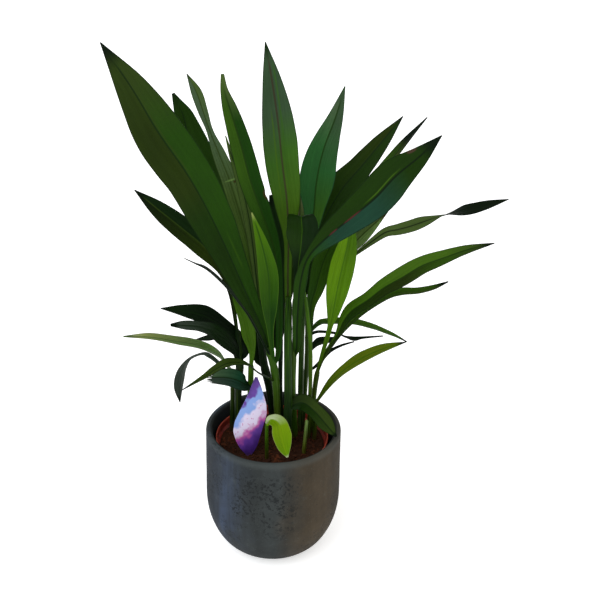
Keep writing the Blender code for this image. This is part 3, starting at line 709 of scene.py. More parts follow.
def stem_finish(name, low, high, streak):
    """A stalk of rolled sheaths: brown at the soil, then two greens in long streaks."""
    material, start = new_finish(name + "_skin", 0.5, STEM_SHINE)
    place = start.marks("span")
    around, up = place.part(0), place.part(1)
    share = start.marks("blade").part(1)
    strip = start.point(around * 0.9, up * 0.02, len(name) * 1.7)
    streaks = strip.cloudy(1.0, 3.0, 0.6)
    threads = start.point(around * 3.0, up * 0.05, 4.0).cloudy(1.0, 2.0)
    colour = share.rise(0.1, 0.9).over(tint(TONES[low]), tint(TONES[high]))
    colour = colour.coated(streaks.rise(0.52, 0.66) * 0.75, TONES[streak])
    colour = colour.coated(streaks.rise(0.46, 0.34) * 0.7, TONES["night"])
    colour = colour.lit(0.7 + threads * 0.6)
    husk = (up + threads * 14.0).rise(22.0, 6.0) * 0.6
    colour = colour.coated(husk, STEM_HUSK)
    return lay_on(material, colour, 0.42 + threads * 0.2, threads * 0.6 + streaks * 0.4, 0.0005)


def make_stem(name, slot, foot, places, radius, sheaths, tones, top=0.45):
    """A stalk through its places, a little thicker below each leaf; returns its centre line."""
    collar = Vector((foot[0], foot[1], SOIL_TOP + STEM_COLLAR))
    buried = Vector((foot[0], foot[1], SOIL_TOP - STEM_DEPTH))
    route = [buried] + smooth_route([collar] + [Vector(place) for place in places], STEM_RINGS)
    rings, blade, span = [], [], []
    last = len(route) - 1
    for number, (place, along) in enumerate(zip(route, tangents(route))):
        along = Vector((0.0, 0.0, 1.0)) if number < 2 else along
        across = Vector((0.0, -1.0, 0.0)).cross(along).normalized()
        out = along.cross(across)
        share = max(0, number - 1) / (last - 1)
        reach = radius * (1.0 + (STEM_TAPER - 1.0) * share)
        for height in sheaths:
            below = (place.z - (height - SHEATH_LENGTH)) / SHEATH_LENGTH
            if 0.0 < below <= 1.0:
                reach *= 1.0 + SHEATH_SWELL * below
        reach *= 1.0 - (1.0 - top) * max(0.0, (share - STEM_END) / (1.0 - STEM_END)) ** 2
        for side in range(STEM_SIDES):
            angle = 2 * math.pi * side / STEM_SIDES
            ridge = 1.0 + STEM_RIDGE * math.sin(STEM_RIDGES * angle + STEM_TWIST * place.z)
            rings.append(place + (across * math.cos(angle) + out * math.sin(angle)) * reach * ridge)
            turn = 1 - abs(2 * side / STEM_SIDES - 1)
            blade.append((turn, share))
            span.append((turn * math.pi * radius, place.z - SOIL_TOP))
    faces = tube_faces(0, len(route), STEM_SIDES)
    add_piece(name + "_stalk", rings, faces, stem_finish(name, *tones), slot, name, blade=blade, span=span)
    return route


def sheet_faces(rows, columns):
    """Faces of a thin closed sheet: a grid of places for its front, then the same for its back."""
    back, faces = rows * columns, []
    for a in (row * columns + column for row in range(rows - 1) for column in range(columns - 1)):
        b = a + columns
        faces += [(a, a + 1, b + 1, b), (back + a, back + b, back + b + 1, back + a + 1)]
    for a in range(0, back - columns, columns):
        b, c, d = a + columns, a + columns - 1, a + 2 * columns - 1
        faces += [(a, b, back + b, back + a), (back + c, back + d, d, c)]
    for a in range(columns - 1):
        b = back - columns + a
        faces += [(a, back + a, back + a + 1, a + 1), (b + 1, back + b + 1, back + b, b)]
    return faces


def blade_mesh(leaf, stem):
    """Places, faces, marks and length of a thin closed blade with its stalk, folded along the rib."""
    root = point_at_height(stem, leaf.root)
    sections = [Vector((*root, STALK_WIDTH))] + [Vector(section) for section in leaf.sections]
    line = smooth_route(sections, BLADE_ROWS)
    middle = [section.to_3d() for section in line]
    length = sum((b - a).length for a, b in zip(middle, middle[1:]))
    chance = random.Random(leaf.name)
    swells = [(waves, {sign: chance.uniform(0, 6.28) for sign in (-1, 1)}) for waves in SWELL_WAVES]
    raggedness = [chance.uniform(-1.0, 1.0) for _ in range(2 * len(HALF_COLUMNS) - 1)]
    side = np.array([-s for s in HALF_COLUMNS[:0:-1]] + list(HALF_COLUMNS))
    upper, lower, blade, span = [], [], [], []
    for number, (place, along) in enumerate(zip(middle, tangents(middle))):
        share = number / (BLADE_ROWS - 1)
        face = face_at(leaf.faces, share)
        normal = (face - along * face.dot(along)).normalized()
        across = along.cross(normal)
        half = max(line[number][3], TIP_WIDTH) / 2
        reach = np.ones(len(side))
        for sign in (-1, 1):
            swell = sum(math.sin(waves * 2 * math.pi * share + start[sign]) / waves
                        for waves, start in swells)
            bite = sum(depth * math.exp(-((share - centre) / width) ** 2)
                       for centre, on, depth, width in leaf.notches if on == sign)
            factor = 1.0 + BLADE_SWELL * swell * min(1.0, 4 * (1 - share)) - bite
            reach = np.where(side * sign > 0, factor, reach)
        x = side * half * reach
        size = min(1.0, half / FULL_RIPPLE)
        rise = BLADE_FOLD * half * (1.25 * np.abs(side) - 0.25 * side ** 2)
        ripple = leaf.wave * math.sin(2 * math.pi * RIPPLES * share) * side * size
        spread = min(1.0, 5 * share) * min(1.0, 4 * (1 - share))
        pleats = leaf.pleat * size * spread * np.cos(np.abs(side) * math.pi * PLEATS) * (1 - side ** 4)
        stalk = max(0.0, 1.0 - share / STALK_SHARE)
        rib = RIB_HEIGHT * (1 - share) * np.exp(-(x / RIB_HEIGHT) ** 2)
        thin = (BLADE_THICKNESS * (1 - 0.5 * side ** 6) + rib) * (1 - stalk)
        thick = STALK_THICKNESS * np.sqrt(np.maximum(0.02, 1 - side ** 2)) * stalk
        half_depth = (thin + thick) / 2
        groove = RIB_GROOVE * rib * (1 - stalk)
        middle_rise = rise + ripple + pleats - groove
        ahead = leaf.jag * np.array(raggedness) * share ** 6
        for column in range(len(side)):
            base = place + across * float(x[column]) + along * float(ahead[column])
            upper.append(base + normal * float(middle_rise[column] + half_depth[column]))
            lower.append(base + normal * float(middle_rise[column] - half_depth[column]))
            blade.append(((side[column] + 1) / 2, share))
            span.append((x[column], half * reach[column] - abs(x[column])))
    marks = {"blade": blade * 2, "span": span * 2, "side": [(on, 0.0) for on in (0.0, 1.0) for _ in upper]}
    return upper + lower, sheet_faces(BLADE_ROWS, len(side)), marks, length


def half_colour(share, tones):
    """The colour of a half along the leaf: one tone, or a table of tones at shares of its length."""
    tones = {0.0: tones, 1.0: tones} if isinstance(tones, str) else tones
    return share.ramp({place: TONES[tone] for place, tone in tones.items()})


def leaf_finish(leaf, length):
    """Waxy leaf skin: two toned halves, partly painted fold shade, long veins, painted highlight glints,
    rib, margins, dry tip and marks.
    """
    material, start = new_finish(leaf.name + "_skin", 0.45, LEAF_SHINE)
    blade, span, under = start.marks("blade"), start.marks("span"), start.marks("side").part(0)
    side, share = blade.part(0) * 2.0 - 1.0, blade.part(1)
    x, edge = span.part(0), span.part(1)
    seed = random.Random(leaf.name).uniform(0, 50)
    y = share * length
    long_veins = start.point(x * 1.1, y * 0.02, seed).cloudy(1.0, 4.0, 0.6)
    fine_veins = start.point(x * 4.0, y * 0.02, seed + 9).cloudy(1.0, 2.0)
    clouds = start.point(x * 0.06, y * 0.03, seed + 20).cloudy(1.0, 2.0)
    left, right = half_colour(share, leaf.left), half_colour(share, leaf.right or leaf.left)
    # The two halves differ partly in their own colour and partly by painted shade of the fold.
    colour = side.rise(-0.04, 0.04).over(left, right)
    streak = 1.0 - leaf.streaks + long_veins * leaf.streaks * 2.0
    colour = colour.lit(streak * (0.9 + fine_veins * 0.2) * (0.82 + clouds * 0.36))
    colour = colour.coated(under * 0.75, TONES[leaf.under])
    # Glints are painted highlight lines along the folds.
    for offset, width, tone, begin, end in leaf.glints:
        near = abs(x - offset).rise(width, width * 0.25)
        reach = share.rise(begin, begin + 0.06) * share.rise(end, end - 0.06)
        colour = colour.coated(near * reach * (0.35 + long_veins * 0.6), TONES[tone])
    rib = abs(x).rise(leaf.rib_width * 0.7, leaf.rib_width * 0.3) * share.rise(0.985, 0.9)
    colour = colour.coated(rib * 0.8, TONES[leaf.rib])
    rim = (edge + long_veins * 0.5).rise(leaf.edge_width + 0.25, 0.25)
    colour = colour.coated(rim * share.rise(0.08, 0.2) * 0.8, TONES[leaf.edge])
    dry = (share + long_veins * 0.05).rise(leaf.tip_from, leaf.tip_from + 0.06)
    colour = colour.coated(dry, TONES[leaf.tip])
    for at_side, at_share, wide, long, tone in leaf.spots:
        over, down = (side - at_side) * (1.0 / wide), (share - at_share) * (1.0 / long)
        away = over * over + down * down + (fine_veins - 0.5) * 1.4
        colour = colour.coated(away.rise(1.0, 0.35) * 0.9, TONES[tone])
    relief = long_veins * 0.5 + fine_veins * 0.35 - rib * 0.3
    return lay_on(material, colour, 0.36 + clouds * 0.16 + fine_veins * 0.08, relief, 0.00035)


def leafy_stem(name, slot, foot, places, radius, tones, leaves, top=0.45):
    """A stalk and its leaves, which together stand for one CAD node."""
    stem = make_stem(name, slot, foot, places, radius, [leaf.root for leaf in leaves], tones, top)
    for leaf in leaves:
        places, faces, marks, length = blade_mesh(leaf, stem)
        add_piece(leaf.name, places, faces, leaf_finish(leaf, length), slot, name, **marks)


leafy_stem("stem_great", "leaf_dark", (6, 1), [(4, -5, 168), (1, -12, 218), (-6, -17, 250)], 4.0,
           ("khaki", "moss", "olive"), [
    Leaf("great_leaf", 246, [(-10, -17, 267, 10), (-23, -20, 301, 18), (-41, -24, 349, 29),
        (-58, -33, 395, 40), (-77, -45, 440, 43), (-100, -59, 484, 44), (-118, -76, 527, 28),
        (-138, -95, 569, 1)], left={0.45: "deep", 0.55: "bronze", 0.75: "bronze", 1.0: "drab"},
        right={0.7: "forest", 0.88: "drab"}, edge="night", edge_width=1.3, tip_from=0.945, pleat=0.5,
        streaks=0.2, glints=[(1.7, 0.9, "drab", 0.55, 0.99), (7.0, 1.4, "moss", 0.24, 0.4)]),
    Leaf("lime_centre_leaf", 222, [(-3, -26, 271, 6), (-4, -33, 306, 15), (-5, -38, 340, 19),
        (-11, -45, 375, 12), (-20, -50, 408, 1)], left={0.4: "forest", 0.8: "leek", 1.0: "lime"},
        right={0.4: "bottle", 0.8: "leek", 1.0: "lime"}, rib="forest", edge="grass", tip="straw",
        tip_from=0.97, under="leek"),
    Leaf("second_tall_leaf", 226, [(4, -14, 239, 5), (5, -13, 263, 7), (5, -14, 302, 8), (0, -16, 355, 13),
        (-11, -18, 392, 18), (-22, -23, 427, 21), (-30, -29, 462, 20), (-35, -34, 483, 17),
        (-40, -38, 502, 13), (-44, -41, 518, 7), (-45, -45, 533, 3)],
        left={0.4: "bottle", 0.7: "moss", 0.9: "moss", 1.0: "olive"},
        right={0.85: "bottle", 0.96: "olive"}, rib="deep", rib_width=1.6, tip="olive", tip_from=0.985,
        wave=1.2, spots=[(0.95, 0.6, 0.25, 0.02, "umber")], notches=[(0.6, 1, 0.12, 0.012)]),
    Leaf("olive_arch_leaf", 206, [(-14, -27, 225, 7), (-24, -34, 238, 9), (-34, -39, 244, 13),
        (-45, -45, 246, 15), (-56, -50, 242, 11), (-67, -57, 237, 7), (-87, -68, 229, 1)],
        left={0.5: "drab", 1.0: "khaki"}, right={0.0: "night", 0.5: "drab", 1.0: "khaki"},
        faces=[(0.1, 0.0, 1.0)], under="night"),
    Leaf("edge_on_leaf", 234, [(-22, -37, 291, 8), (-32, -47, 313, 9), (-45, -56, 336, 13),
        (-60, -63, 355, 15), (-71, -66, 363, 10), (-80, -70, 370, 3)], left={0.0: "night", 1.0: "ink"},
        faces=[(0.75, 0.55, 0.35)], under="ink"),
])


# The middle stem: a thick dark green stalk in the middle of the clump. It carries the tallest upright
# leaf, and low down a short dark leaf that bends out over the rim of the pots.
leafy_stem("stem_centre", "leaf_green", (15, -8), [(15, -10, 184), (14, -11, 243), (14, -11, 304)], 4.5,
           ("night", "forest", "leek"), [
    Leaf("tallest_leaf", 270, [(13, -7, 326, 8), (13, -5, 364, 10), (11, -2, 401, 25), (6, 2, 438, 32),
        (2, 7, 473, 30), (-4, 14, 510, 19), (-11, 22, 546, 1)],
        # The slate at the top of the tallest leaf is a painted sky reflection.
        left={0.4: "grass", 0.6: "meadow", 0.76: "skylit_slate"},
        right={0.45: "grass", 0.65: "meadow", 0.78: "skylit_slate"}, rib="bark", rib_width=1.7, edge="night",
        edge_width=1.2, tip="night", tip_from=0.96, streaks=0.22, glints=[(3.4, 1.2, "meadow", 0.5, 0.95),
        (-5.0, 1.0, "grass", 0.35, 0.8)]),
    Leaf("rim_leaf", 174, [(30, -8, 179, 19), (43, -14, 172.5, 18), (55, -22, 162, 18), (66, -29, 152, 2)],
        left={0.0: "night", 0.4: "drab"}, right={0.0: "night", 0.5: "deep", 1.0: "drab"},
        faces=[(0.35, -0.6, 0.8)], pleat=0.15, under="drab"),
])


# The front right stem: an olive green stalk with the leaf whose rib is partly red, and at its top a
# young leaf that has rolled back on itself.
ROLLED_BACK = [(0.0, -0.9, 0.45), (0.0, -0.9, 0.45), (0.0, -0.4, 1.0), (0.0, 1.0, 0.3)]
leafy_stem("stem_front_right", "leaf_dark", (23, 9), [
        (20, 1, 190), (20, -1, 225), (21, -9, 262), (20, -22, 310)], 3.2, ("moss", "olive", "grass"), [
    Leaf("curled_leaf", 292, [(23, -24, 342, 9), (25, -30, 363, 20), (26, -32, 382, 29),
        (25, -25, 393, 26), (26, -13, 390, 15), (27, -5, 380, 1)],
        left={0.45: "night", 0.62: "deep", 1.0: "night"}, right={0.0: "ink", 0.5: "night"},
        faces=ROLLED_BACK, rib="moss", rib_width=0.8, edge="night", under="moss"),
    Leaf("red_rib_leaf", 230, [(23, -8, 246, 7), (23, -14, 272, 9), (24, -23, 304, 11), (26, -30, 332, 12),
        (33, -35, 359, 9), (51, -41, 383, 20), (71, -49, 405, 28), (91, -56, 427, 34), (107, -65, 451, 32),
        (125, -76, 473, 18), (141, -88, 496, 1)], left={0.25: "forest", 0.5: "deep"},
        right={0.0: "deep", 0.42: "forest", 0.55: "pine", 0.7: "pine", 0.85: "deep"},
        faces=[(-0.1, -0.9, 0.45)], rib="ink", rib_width=1.6, edge="night", edge_width=1.3, streaks=0.18,
        glints=[(-2.4, 0.9, "grass", 0.66, 0.85), (-6.5, 1.6, "meadow", 0.12, 0.4)],
        spots=[(0.0, 0.62, 0.06, 0.04, "plum"), (0.0, 0.54, 0.07, 0.02, "plum"),
        (-0.85, 0.9, 0.2, 0.02, "cocoa")]),
])


# The right-hand back stem: a green stalk behind the front ones, with an upright leaf, blue-green partly in
# its own tone and partly by a painted sky reflection, and a broad dark leaf that leans to the right.
leafy_stem("stem_back_right", "leaf_green", (29, 24), [(28, 20, 184), (28, 18, 251), (29, 18, 300)], 3.2,
           ("deep", "forest", "olive"), [
    Leaf("teal_leaf", 296, [(33, 22, 346, 10), (37, 26, 378, 19), (39, 32, 408, 34), (45, 38, 439, 29),
        (56, 43, 471, 15), (64, 48, 500, 1)],
        left={0.0: "forest", 0.4: "teal", 0.7: "teal", 0.9: "mist", 0.97: "skylit_slate"},
        right={0.0: "teal", 0.4: "meadow", 0.6: "teal", 0.85: "skylit_slate"}, rib="deep", rib_width=1.5,
        edge="pine", edge_width=1.1, tip="skylit_slate"),
    Leaf("olive_back_leaf", 282, [(38, 30, 339, 13), (49, 41, 367, 25), (65, 53, 393, 33),
        (85, 69, 413, 25), (105, 84, 434, 17), (126, 98, 457, 1)], left={0.5: "deep", 0.9: "bronze"},
        right="deep", faces=[(-0.2, -0.75, 0.6)], edge_width=1.6, tip_from=0.965),
])


# The furthest stem on the right: it stands at the back of the clump and sends seven narrow leaves to
# the right. One of them turns over beyond its middle, so that its underside shows.
HALF_TURNED = TO_CAMERA * 5 + [(0.0, 0.45, 0.9)] + [(0.0, 0.9, -0.45)] * 2
leafy_stem("stem_far_right", "leaf_dark", (31, 34), [(33, 36, 170), (34, 36, 224), (33, 38, 272)], 2.6,
           ("deep", "drab", "olive"), [
    Leaf("far_leaf", 268, [(52, 57, 325, 18), (77, 76, 360, 20), (103, 96, 390, 21), (130, 115, 421, 15),
        (155, 133, 446, 2)], left={0.0: "forest", 0.75: "moss", 0.86: "bronze"},
        right={0.0: "forest", 0.75: "khaki", 0.86: "bronze"}, faces=[(-0.6, -0.2, 0.7)], tip_from=0.84,
        under="bronze"),
    Leaf("twisted_leaf", 252, [(47, 43, 291, 4), (63, 48, 311, 4), (82, 56, 322, 4), (99, 64, 333, 7),
        (113, 72, 340, 10), (126, 80, 340, 12), (139, 89, 340, 13), (156, 101, 341, 13),
        (176, 113, 343, 12), (200, 124, 345, 13), (228, 137, 348, 10), (254, 150, 350, 1)],
        left={0.0: "forest", 0.3: "olive", 0.69: "olive", 0.73: "ink"}, faces=HALF_TURNED, rib="ink",
        under="ink"),
    Leaf("olive_sliver_leaf", 258, [(53, 50, 301, 6), (64, 59, 313, 10), (77, 66, 325, 17),
        (93, 73, 340, 17), (115, 80, 360, 1)], left={0.0: "olive", 0.3: "sage", 1.0: "olive"},
        right={0.0: "olive", 0.3: "sage"}, faces=[(-0.2, -0.6, 0.75)], rib="drab", edge="drab",
        tip="umber"),
    Leaf("thin_green_leaf", 236, [(45, 42, 246, 7), (54, 47, 246, 11), (79, 54, 243, 13),
        (101, 60, 235, 13), (118, 65, 226, 11), (131, 68, 219, 7), (144, 70, 211, 2)],
        left={0.0: "forest", 0.3: "leek"}, faces=UPWARD, rib="forest", under="forest"),
    Leaf("thin_dark_leaf", 234, [(45, 41, 237, 5), (66, 47, 232, 5), (75, 51, 226, 5), (83, 54, 222, 9),
        (93, 59, 221, 5), (117, 68, 219, 2)], left="night", right={0.0: "ink", 1.0: "night"}, faces=UPWARD,
        under="ink"),
    Leaf("lowest_dark_leaf", 193, [(41, 41, 192, 4), (49, 44, 199, 5), (59, 47, 210, 5), (71, 50, 216, 4),
        (85, 54, 219, 2)], left={0.0: "night", 1.0: "ink"}, right={0.0: "ink", 1.0: "night"}, faces=UPWARD,
        under="ink"),
    Leaf("short_dark_leaf", 212, [(40, 42, 218, 7), (48, 45, 223, 13), (60, 49, 223, 10),
        (68, 52, 225, 2)], left={0.0: "night", 1.0: "ink"}, right={0.0: "deep", 1.0: "night"},
        faces=UPWARD, under="ink"),
])


# The spear stem: a young stalk whose newest leaf is still rolled into a green spear. A small dark leaf
# stands off it to the right.
leafy_stem("stem_spear", "leaf_green", (38, 10), [
    (38, 2, 189), (37, -8, 243), (35, -12, 269), (32, -16, 295), (28, -20, 321)], 2.3,
           ("khaki", "leek", "grass"), [
    Leaf("dark_right_leaf", 238, [(36, 3, 281, 8), (41, 7, 305, 16), (48, 12, 333, 22), (58, 14, 357, 22),
        (68, 12, 383, 2)], left={0.0: "deep", 0.4: "forest", 1.0: "moss"},
        right={0.0: "deep", 0.4: "moss", 1.0: "forest"}, faces=[(0.1, -0.9, 0.4)], rib="deep"),
], top=0.12)


# The stem of the arching leaf: a green stalk at the right of the clump, with a long leaf that arches
# far out, a narrow one below it, and an upright lime leaf.
leafy_stem("stem_right_arch", "leaf_lime", (41, 20), [(43, 17, 180), (46, 14, 210)], 2.7,
           ("khaki", "khaki", "leek"), [
    Leaf("arching_leaf", 204, [(51, 12, 223, 5), (57, 12, 235, 5), (65, 11, 251, 6), (71, 11, 267, 11),
        (79, 11, 279, 16), (94, 9, 292, 17), (109, 7, 307, 20), (126, 4, 320, 22), (145, 1, 335, 19),
        (164, -4, 346, 16), (184, -11, 358, 11), (209, -20, 370, 1)],
        left={0.0: "khaki", 0.3: "leek", 0.6: "grass", 0.8: "grass", 0.95: "drab"},
        right={0.0: "khaki", 0.3: "deep", 0.6: "bronze", 0.8: "moss", 0.95: "drab"},
        faces=[(-0.3, -0.6, 0.75)], rib="deep", tip_from=0.95, wave=1.0, under="deep"),
    Leaf("under_arching_leaf", 200, [(52, 14, 221, 4), (68, 18, 247, 6), (89, 20, 270, 8),
        (114, 21, 290, 13), (129, 22, 295, 14), (145, 23, 296, 12), (161, 24, 300, 9), (176, 25, 307, 2)],
        left={0.0: "khaki", 0.5: "leek", 1.0: "moss"}, right={0.0: "khaki", 0.5: "leek", 1.0: "khaki"},
        faces=UPWARD, rib="moss", under="moss"),
    Leaf("lime_right_leaf", 203, [(50, 10, 230, 4), (54, 8, 248, 5), (57, 6, 265, 6), (59, 4, 279, 12),
        (62, -2, 308, 22), (66, -9, 338, 24), (70, -18, 369, 17), (70, -28, 400, 1)],
        left={0.0: "khaki", 0.4: "lime", 0.7: "bud"},
        right={0.0: "khaki", 0.4: "lime", 0.7: "lime", 1.0: "leek"}, rib="leek", edge="leek",
        edge_width=0.7, tip="leek", streaks=0.4, under="leek"),
])


# The low right stem: a short green stalk that grows out of the soil at the right of the clump, with
# one narrow leaf that rises to the right.
leafy_stem("stem_low_right", "leaf_lime", (44, 7), [(45, 8, 174)], 2.3, ("khaki", "khaki", "grass"), [
    Leaf("low_right_leaf", 170, [(60, 7, 196, 11), (75, 5, 214, 14), (91, 3, 228, 16), (111, 0, 241, 12),
        (134, -4, 252, 1)], left={0.0: "khaki", 0.4: "fern"}, faces=[(-0.4, -0.3, 0.85)], rib="leek",
        edge="leek", under="khaki"),
])


# The dark left stem: an old stalk near the left rim. Its four leaves have gone almost black, and one
# of them reaches far up to the left.
leafy_stem("stem_left_dark", "leaf_dark", (-38, 10), [(-38, 8, 177), (-36, 8, 220), (-39, 8, 258)], 4.0,
           ("night", "night", "khaki"), [
    Leaf("long_left_leaf", 254, [(-44, 8, 296, 6), (-52, 10, 323, 14), (-71, 14, 345, 23),
        (-94, 19, 363, 23), (-116, 23, 380, 17), (-139, 28, 398, 1)],
        left={0.0: "ink", 0.5: "bronze", 1.0: "ink"}, right={0.0: "ink", 0.5: "night"},
        faces=[(0.3, -0.8, 0.5)], rib="drab"),
    Leaf("black_leaf", 220, [(-33, 8, 230, 14), (-38, 6, 244, 18), (-50, -2, 261, 20), (-69, -13, 281, 23),
        (-89, -22, 291, 14), (-110, -30, 298, 1)], left={0.6: "ink", 1.0: "night"},
        faces=[(0.0, -0.55, 0.85)], under="ink"),
    Leaf("black_lower_leaf", 222, [(-43, -6, 243, 14), (-59, -20, 266, 19), (-73, -35, 281, 12),
        (-86, -44, 287, 10), (-98, -51, 291, 3)], left={0.0: "ink", 0.5: "night", 1.0: "ash"},
        faces=[(0.0, -0.6, 0.8)], under="night"),
    Leaf("black_back_leaf", 212, [(-42, 16, 231, 10), (-55, 25, 237, 9), (-69, 32, 232, 9),
        (-86, 38, 226, 1)], left="ink", faces=[(0.0, -0.4, 0.9)], under="ink"),
])


# The low left stem: a short green stalk behind the left rim, with a greyish leaf that arches to the
# left and a small leaf that hangs limp.
leafy_stem("stem_left_low", "leaf_green", (-46, 22), [(-45, 24, 162), (-45, 24, 192)], 2.7,
           ("night", "drab", "khaki"), [
    Leaf("grey_arch_leaf", 186, [(-50, 15, 209, 17), (-61, 7, 227, 22), (-78, -3, 242, 18),
        (-101, -16, 254, 16), (-122, -29, 265, 12), (-145, -45, 274, 2)],
        left={0.0: "grass", 0.3: "clover", 0.65: "sage", 1.0: "straw"},
        right={0.0: "olive", 0.3: "clover", 0.5: "sage", 0.85: "straw", 1.0: "pale"},
        faces=[(0.1, -0.12, 1.0)], rib="olive", edge="rose", tip="olive", under="drab"),
    Leaf("hanging_leaf", 176, [(-53, 31, 193, 4), (-68, 38, 205, 5), (-79, 40, 207, 9), (-92, 44, 198, 12),
        (-101, 49, 181, 17), (-105, 52, 160, 16), (-106, 54, 137, 1)], left={0.0: "drab", 0.5: "ash"},
        faces=[(-0.7, 0.6, 0.5), (-0.8, 0.55, -0.1)], under="ash"),
])


# The stem behind the label: a light green stalk with one short upright leaf and, below it, what is left
# of a torn blue-green one.
leafy_stem("stem_behind_label", "leaf_green", (-25, 14), [(-25, 8, 177), (-24, 4, 220)], 3.4,
           ("leek", "leek", "grass"), [
    Leaf("light_left_leaf", 215, [(-23, 3, 234, 7), (-26, 0, 255, 14), (-29, -5, 276, 14),
        (-36, -9, 299, 10), (-42, -16, 327, 1)], left={0.4: "grass", 1.0: "leek"},
        right={0.5: "grass", 1.0: "leek"}, rib="leek", edge="leek", tip="leek"),
    Leaf("torn_leaf", 191, [(-30, 0, 195, 15), (-39, -6, 204, 21), (-50, -10, 209, 19),
        (-66, -14, 211, 13)], left={0.0: "night", 0.4: "pine", 1.0: "ash"},
        right={0.0: "night", 0.4: "sea", 1.0: "mist"}, faces=[(0.1, -0.6, 0.8)], tip="ash", under="pine",
        jag=5.0),
])


# The left-hand back stem: a strong dark stalk behind the great leaf, with a weathered grey-green leaf,
# a broad dark one and a narrow third, whose tips stand up between the front leaves.
leafy_stem("stem_back_left", "leaf_dark", (0, 27), [(-5, 27, 173), (-13, 29, 213), (-17, 33, 278)], 4.8,
           ("ink", "night", "deep"), [
    Leaf("grey_tall_leaf", 258, [(-27, 46, 325, 10), (-37, 57, 360, 15), (-49, 68, 396, 16),
        (-59, 77, 418, 14), (-69, 85, 441, 7), (-76, 91, 459, 10), (-83, 98, 477, 11), (-93, 105, 494, 1)],
        left={0.0: "grass", 0.5: "olive", 0.75: "mist"}, right={0.5: "olive", 0.75: "mist", 0.95: "olive"},
        rib="drab", edge="drab", tip_from=0.985, streaks=0.4, spots=[(0.1, 0.56, 0.9, 0.004, "sage"),
        (0.75, 0.55, 0.4, 0.006, "umber")]),
    Leaf("broad_back_leaf", 200, [(-16, 32, 209, 14), (-20, 34, 230, 10), (-28, 44, 272, 12),
        (-38, 59, 313, 20), (-56, 79, 350, 30), (-75, 100, 386, 35), (-94, 116, 425, 32),
        (-100, 123, 445, 21), (-106, 127, 457, 11), (-111, 130, 467, 3)], left={0.0: "night", 0.7: "deep"},
        faces=[(0.2, -0.85, 0.5)], edge="pine", edge_width=1.5, tip="night", tip_from=0.97),
    Leaf("olive_tip_leaf", 266, [(-25, 45, 342, 10), (-31, 52, 376, 11), (-39, 59, 405, 9),
        (-46, 62, 424, 5), (-52, 66, 443, 1)], left="olive", right={0.0: "drab", 1.0: "olive"},
        tip="olive"),
])


# The middle back stem: a thin dark stalk at the back, with two small leaves that show as slivers
# between the tall ones.
leafy_stem("stem_back_middle", "leaf_dark", (8, 34), [(6, 34, 175), (6, 38, 246)], 2.6,
           ("night", "night", "deep"), [
    Leaf("small_dark_leaf", 216, [(1, 40, 224, 9), (1, 42, 248, 11), (6, 47, 283, 10), (5, 55, 323, 12),
        (-1, 60, 354, 13), (-7, 64, 382, 3)], left="night"),
    Leaf("pink_back_leaf", 230, [(15, 54, 285, 9), (20, 63, 320, 13), (23, 70, 355, 13), (24, 76, 391, 1)],
        left={0.0: "night", 0.6: "drab", 0.75: "rose"},
        right={0.0: "night", 0.6: "drab", 0.8: "olive", 1.0: "rose"}, rib="deep", edge="drab"),
])


# The lime sprout: the youngest shoot, in front of the clump. Its one spoon-shaped leaf bends over
# towards the rim of the pot.
leafy_stem("sprout_lime", "leaf_lime", (-6, -31), [(-6, -34, 149), (-6, -36, 173)], 2.0,
           ("khaki", "leek", "grass"), [
    Leaf("lime_spoon_leaf", 170, [(-1, -41, 179, 11), (6, -46, 178, 17), (9, -52, 169, 21),
        (12, -58, 159, 16), (16, -63, 149, 2)], left={0.25: "pale", 0.42: "spring", 1.0: "bud"},
        right={0.0: "bud", 0.5: "spring", 1.0: "bud"}, faces=[(0.3, -0.5, 0.8), (0.5, -0.8, 0.1)],
        rib="spring", edge="straw", edge_width=0.7, tip="pale", tip_from=0.97, streaks=0.15, under="lime"),
])


# The stub: an old stalk at the front right of the clump. It was cut off square a few centimetres above
# the soil and has dried to a pale green.
leafy_stem("stem_stub", "leaf_green", (33, -19), [(35, -23, 167)], 2.1, ("fern", "sage", "straw"), [],
           top=0.9)


# The plant label: a pointed slip of thin printed plastic, pushed into the soil so that it leans back
# and bows a little. Its front has a soft colour wash in violet, blue and pink, its back is plain.
LABEL_FOOT = (-25.5, -28.5, 118.0)
LABEL_TOP = (-18.0, -9.0, 210.0)
LABEL_THICKNESS = 0.6
LABEL_BOW = 2.0
LABEL_WIDTH = 36.0
LABEL_ROWS = 48
LABEL_COLUMNS = 16
LABEL_EASE = 0.012
LABEL_LEFT = [(0.0, -1.6), (0.085, -2.6), (0.13, -8.4), (0.22, -14.2), (0.34, -18.8), (0.46, -18.0),
              (0.8, -6.5), (1.0, -1.2)]
LABEL_RIGHT = [(0.0, 1.2), (0.085, 2.4), (0.13, 5.0), (0.21, 8.0), (0.58, 14.5), (0.7, 13.0),
               (0.9, 6.0), (1.0, 1.2)]
LABEL_VIOLET = "#5b3391"
LABEL_DEEP = "#3a1d6b"
LABEL_BLUE = "#7c9bd6"
LABEL_PALE = "#d5cbe4"
LABEL_MAGENTA = "#b9559f"
LABEL_BACK = "#b9b3c6"
LABEL_SOILED = "#3a2a24"


def eased(points, share):
    """The label's outline, with its corners a little rounded."""
    near = np.clip(share + LABEL_EASE * np.arange(-2, 3), 0.0, 1.0)
    return float(np.mean(np.interp(near, *zip(*points))))


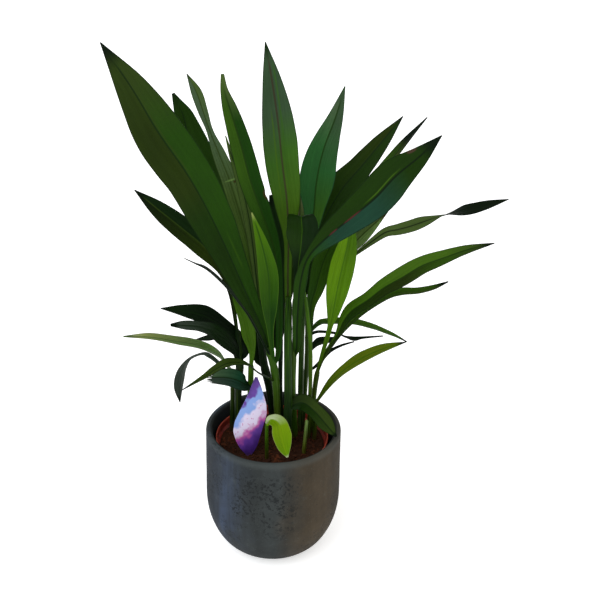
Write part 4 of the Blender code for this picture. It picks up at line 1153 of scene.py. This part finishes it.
def label_mesh():
    lowest, highest = Vector(LABEL_FOOT), Vector(LABEL_TOP)
    up = (highest - lowest).normalized()
    across = Vector((1.0, 0.0, 0.0))
    across = (across - up * across.dot(up)).normalized()
    normal = across.cross(up)
    length = (highest - lowest).length
    front, back, marks = [], [], []
    for row in range(LABEL_ROWS + 1):
        share = row / LABEL_ROWS
        left, right = eased(LABEL_LEFT, share), eased(LABEL_RIGHT, share)
        for column in range(LABEL_COLUMNS + 1):
            part = column / LABEL_COLUMNS
            offset = left + (right - left) * part
            bow = LABEL_BOW * (1.0 - (2 * part - 1) ** 2) * (right - left) / LABEL_WIDTH
            centre = lowest + up * length * share + across * offset + normal * bow
            front.append(centre + normal * LABEL_THICKNESS / 2)
            back.append(centre - normal * LABEL_THICKNESS / 2)
            marks.append((offset / LABEL_WIDTH, share))
    sides = [(on, 0.0) for on in (0.0, 1.0) for _ in front]
    return front + back, sheet_faces(LABEL_ROWS + 1, LABEL_COLUMNS + 1), marks * 2, sides


def label_finish():
    material, start = new_finish("printed_label", 0.38, 0.4)
    place = start.marks("print")
    across, up = place.part(0), place.part(1)
    back = start.marks("side").part(0)
    wash = place.stretched((3.0, 6.0, 1.0)).cloudy(1.0, 2.0, 0.55)
    drops = place.stretched((14.0, 30.0, 1.0)).cloudy(1.0, 1.0)
    slope = up * 1.25 - across * 0.6 + wash * 0.5 - 0.42
    colour = slope.ramp({0.0: LABEL_DEEP, 0.2: LABEL_VIOLET, 0.3: LABEL_MAGENTA, 0.4: LABEL_PALE,
                         0.58: LABEL_PALE, 0.66: LABEL_BLUE, 0.8: LABEL_BLUE, 0.86: LABEL_VIOLET,
                         1.0: LABEL_DEEP})
    dabs = drops.rise(0.62, 0.7) * slope.rise(0.25, 0.4) * slope.rise(0.7, 0.55)
    colour = colour.coated(dabs * 0.7, LABEL_MAGENTA)
    colour = colour.coated(back * 0.95, LABEL_BACK)
    dust = start.object_place().cloudy(260.0, 3.0)
    soiled = (up + dust * 0.1).rise(0.2, 0.1) * 0.5
    colour = colour.coated(soiled, LABEL_SOILED)
    return lay_on(material, colour, 0.3 + dust * 0.2, dust, 0.00006)


label_places, label_faces, label_marks, label_sides = label_mesh()
add_piece("plant_label_print", label_places, label_faces, label_finish(), "plant_label", "plant_label",
          print=label_marks, side=label_sides)
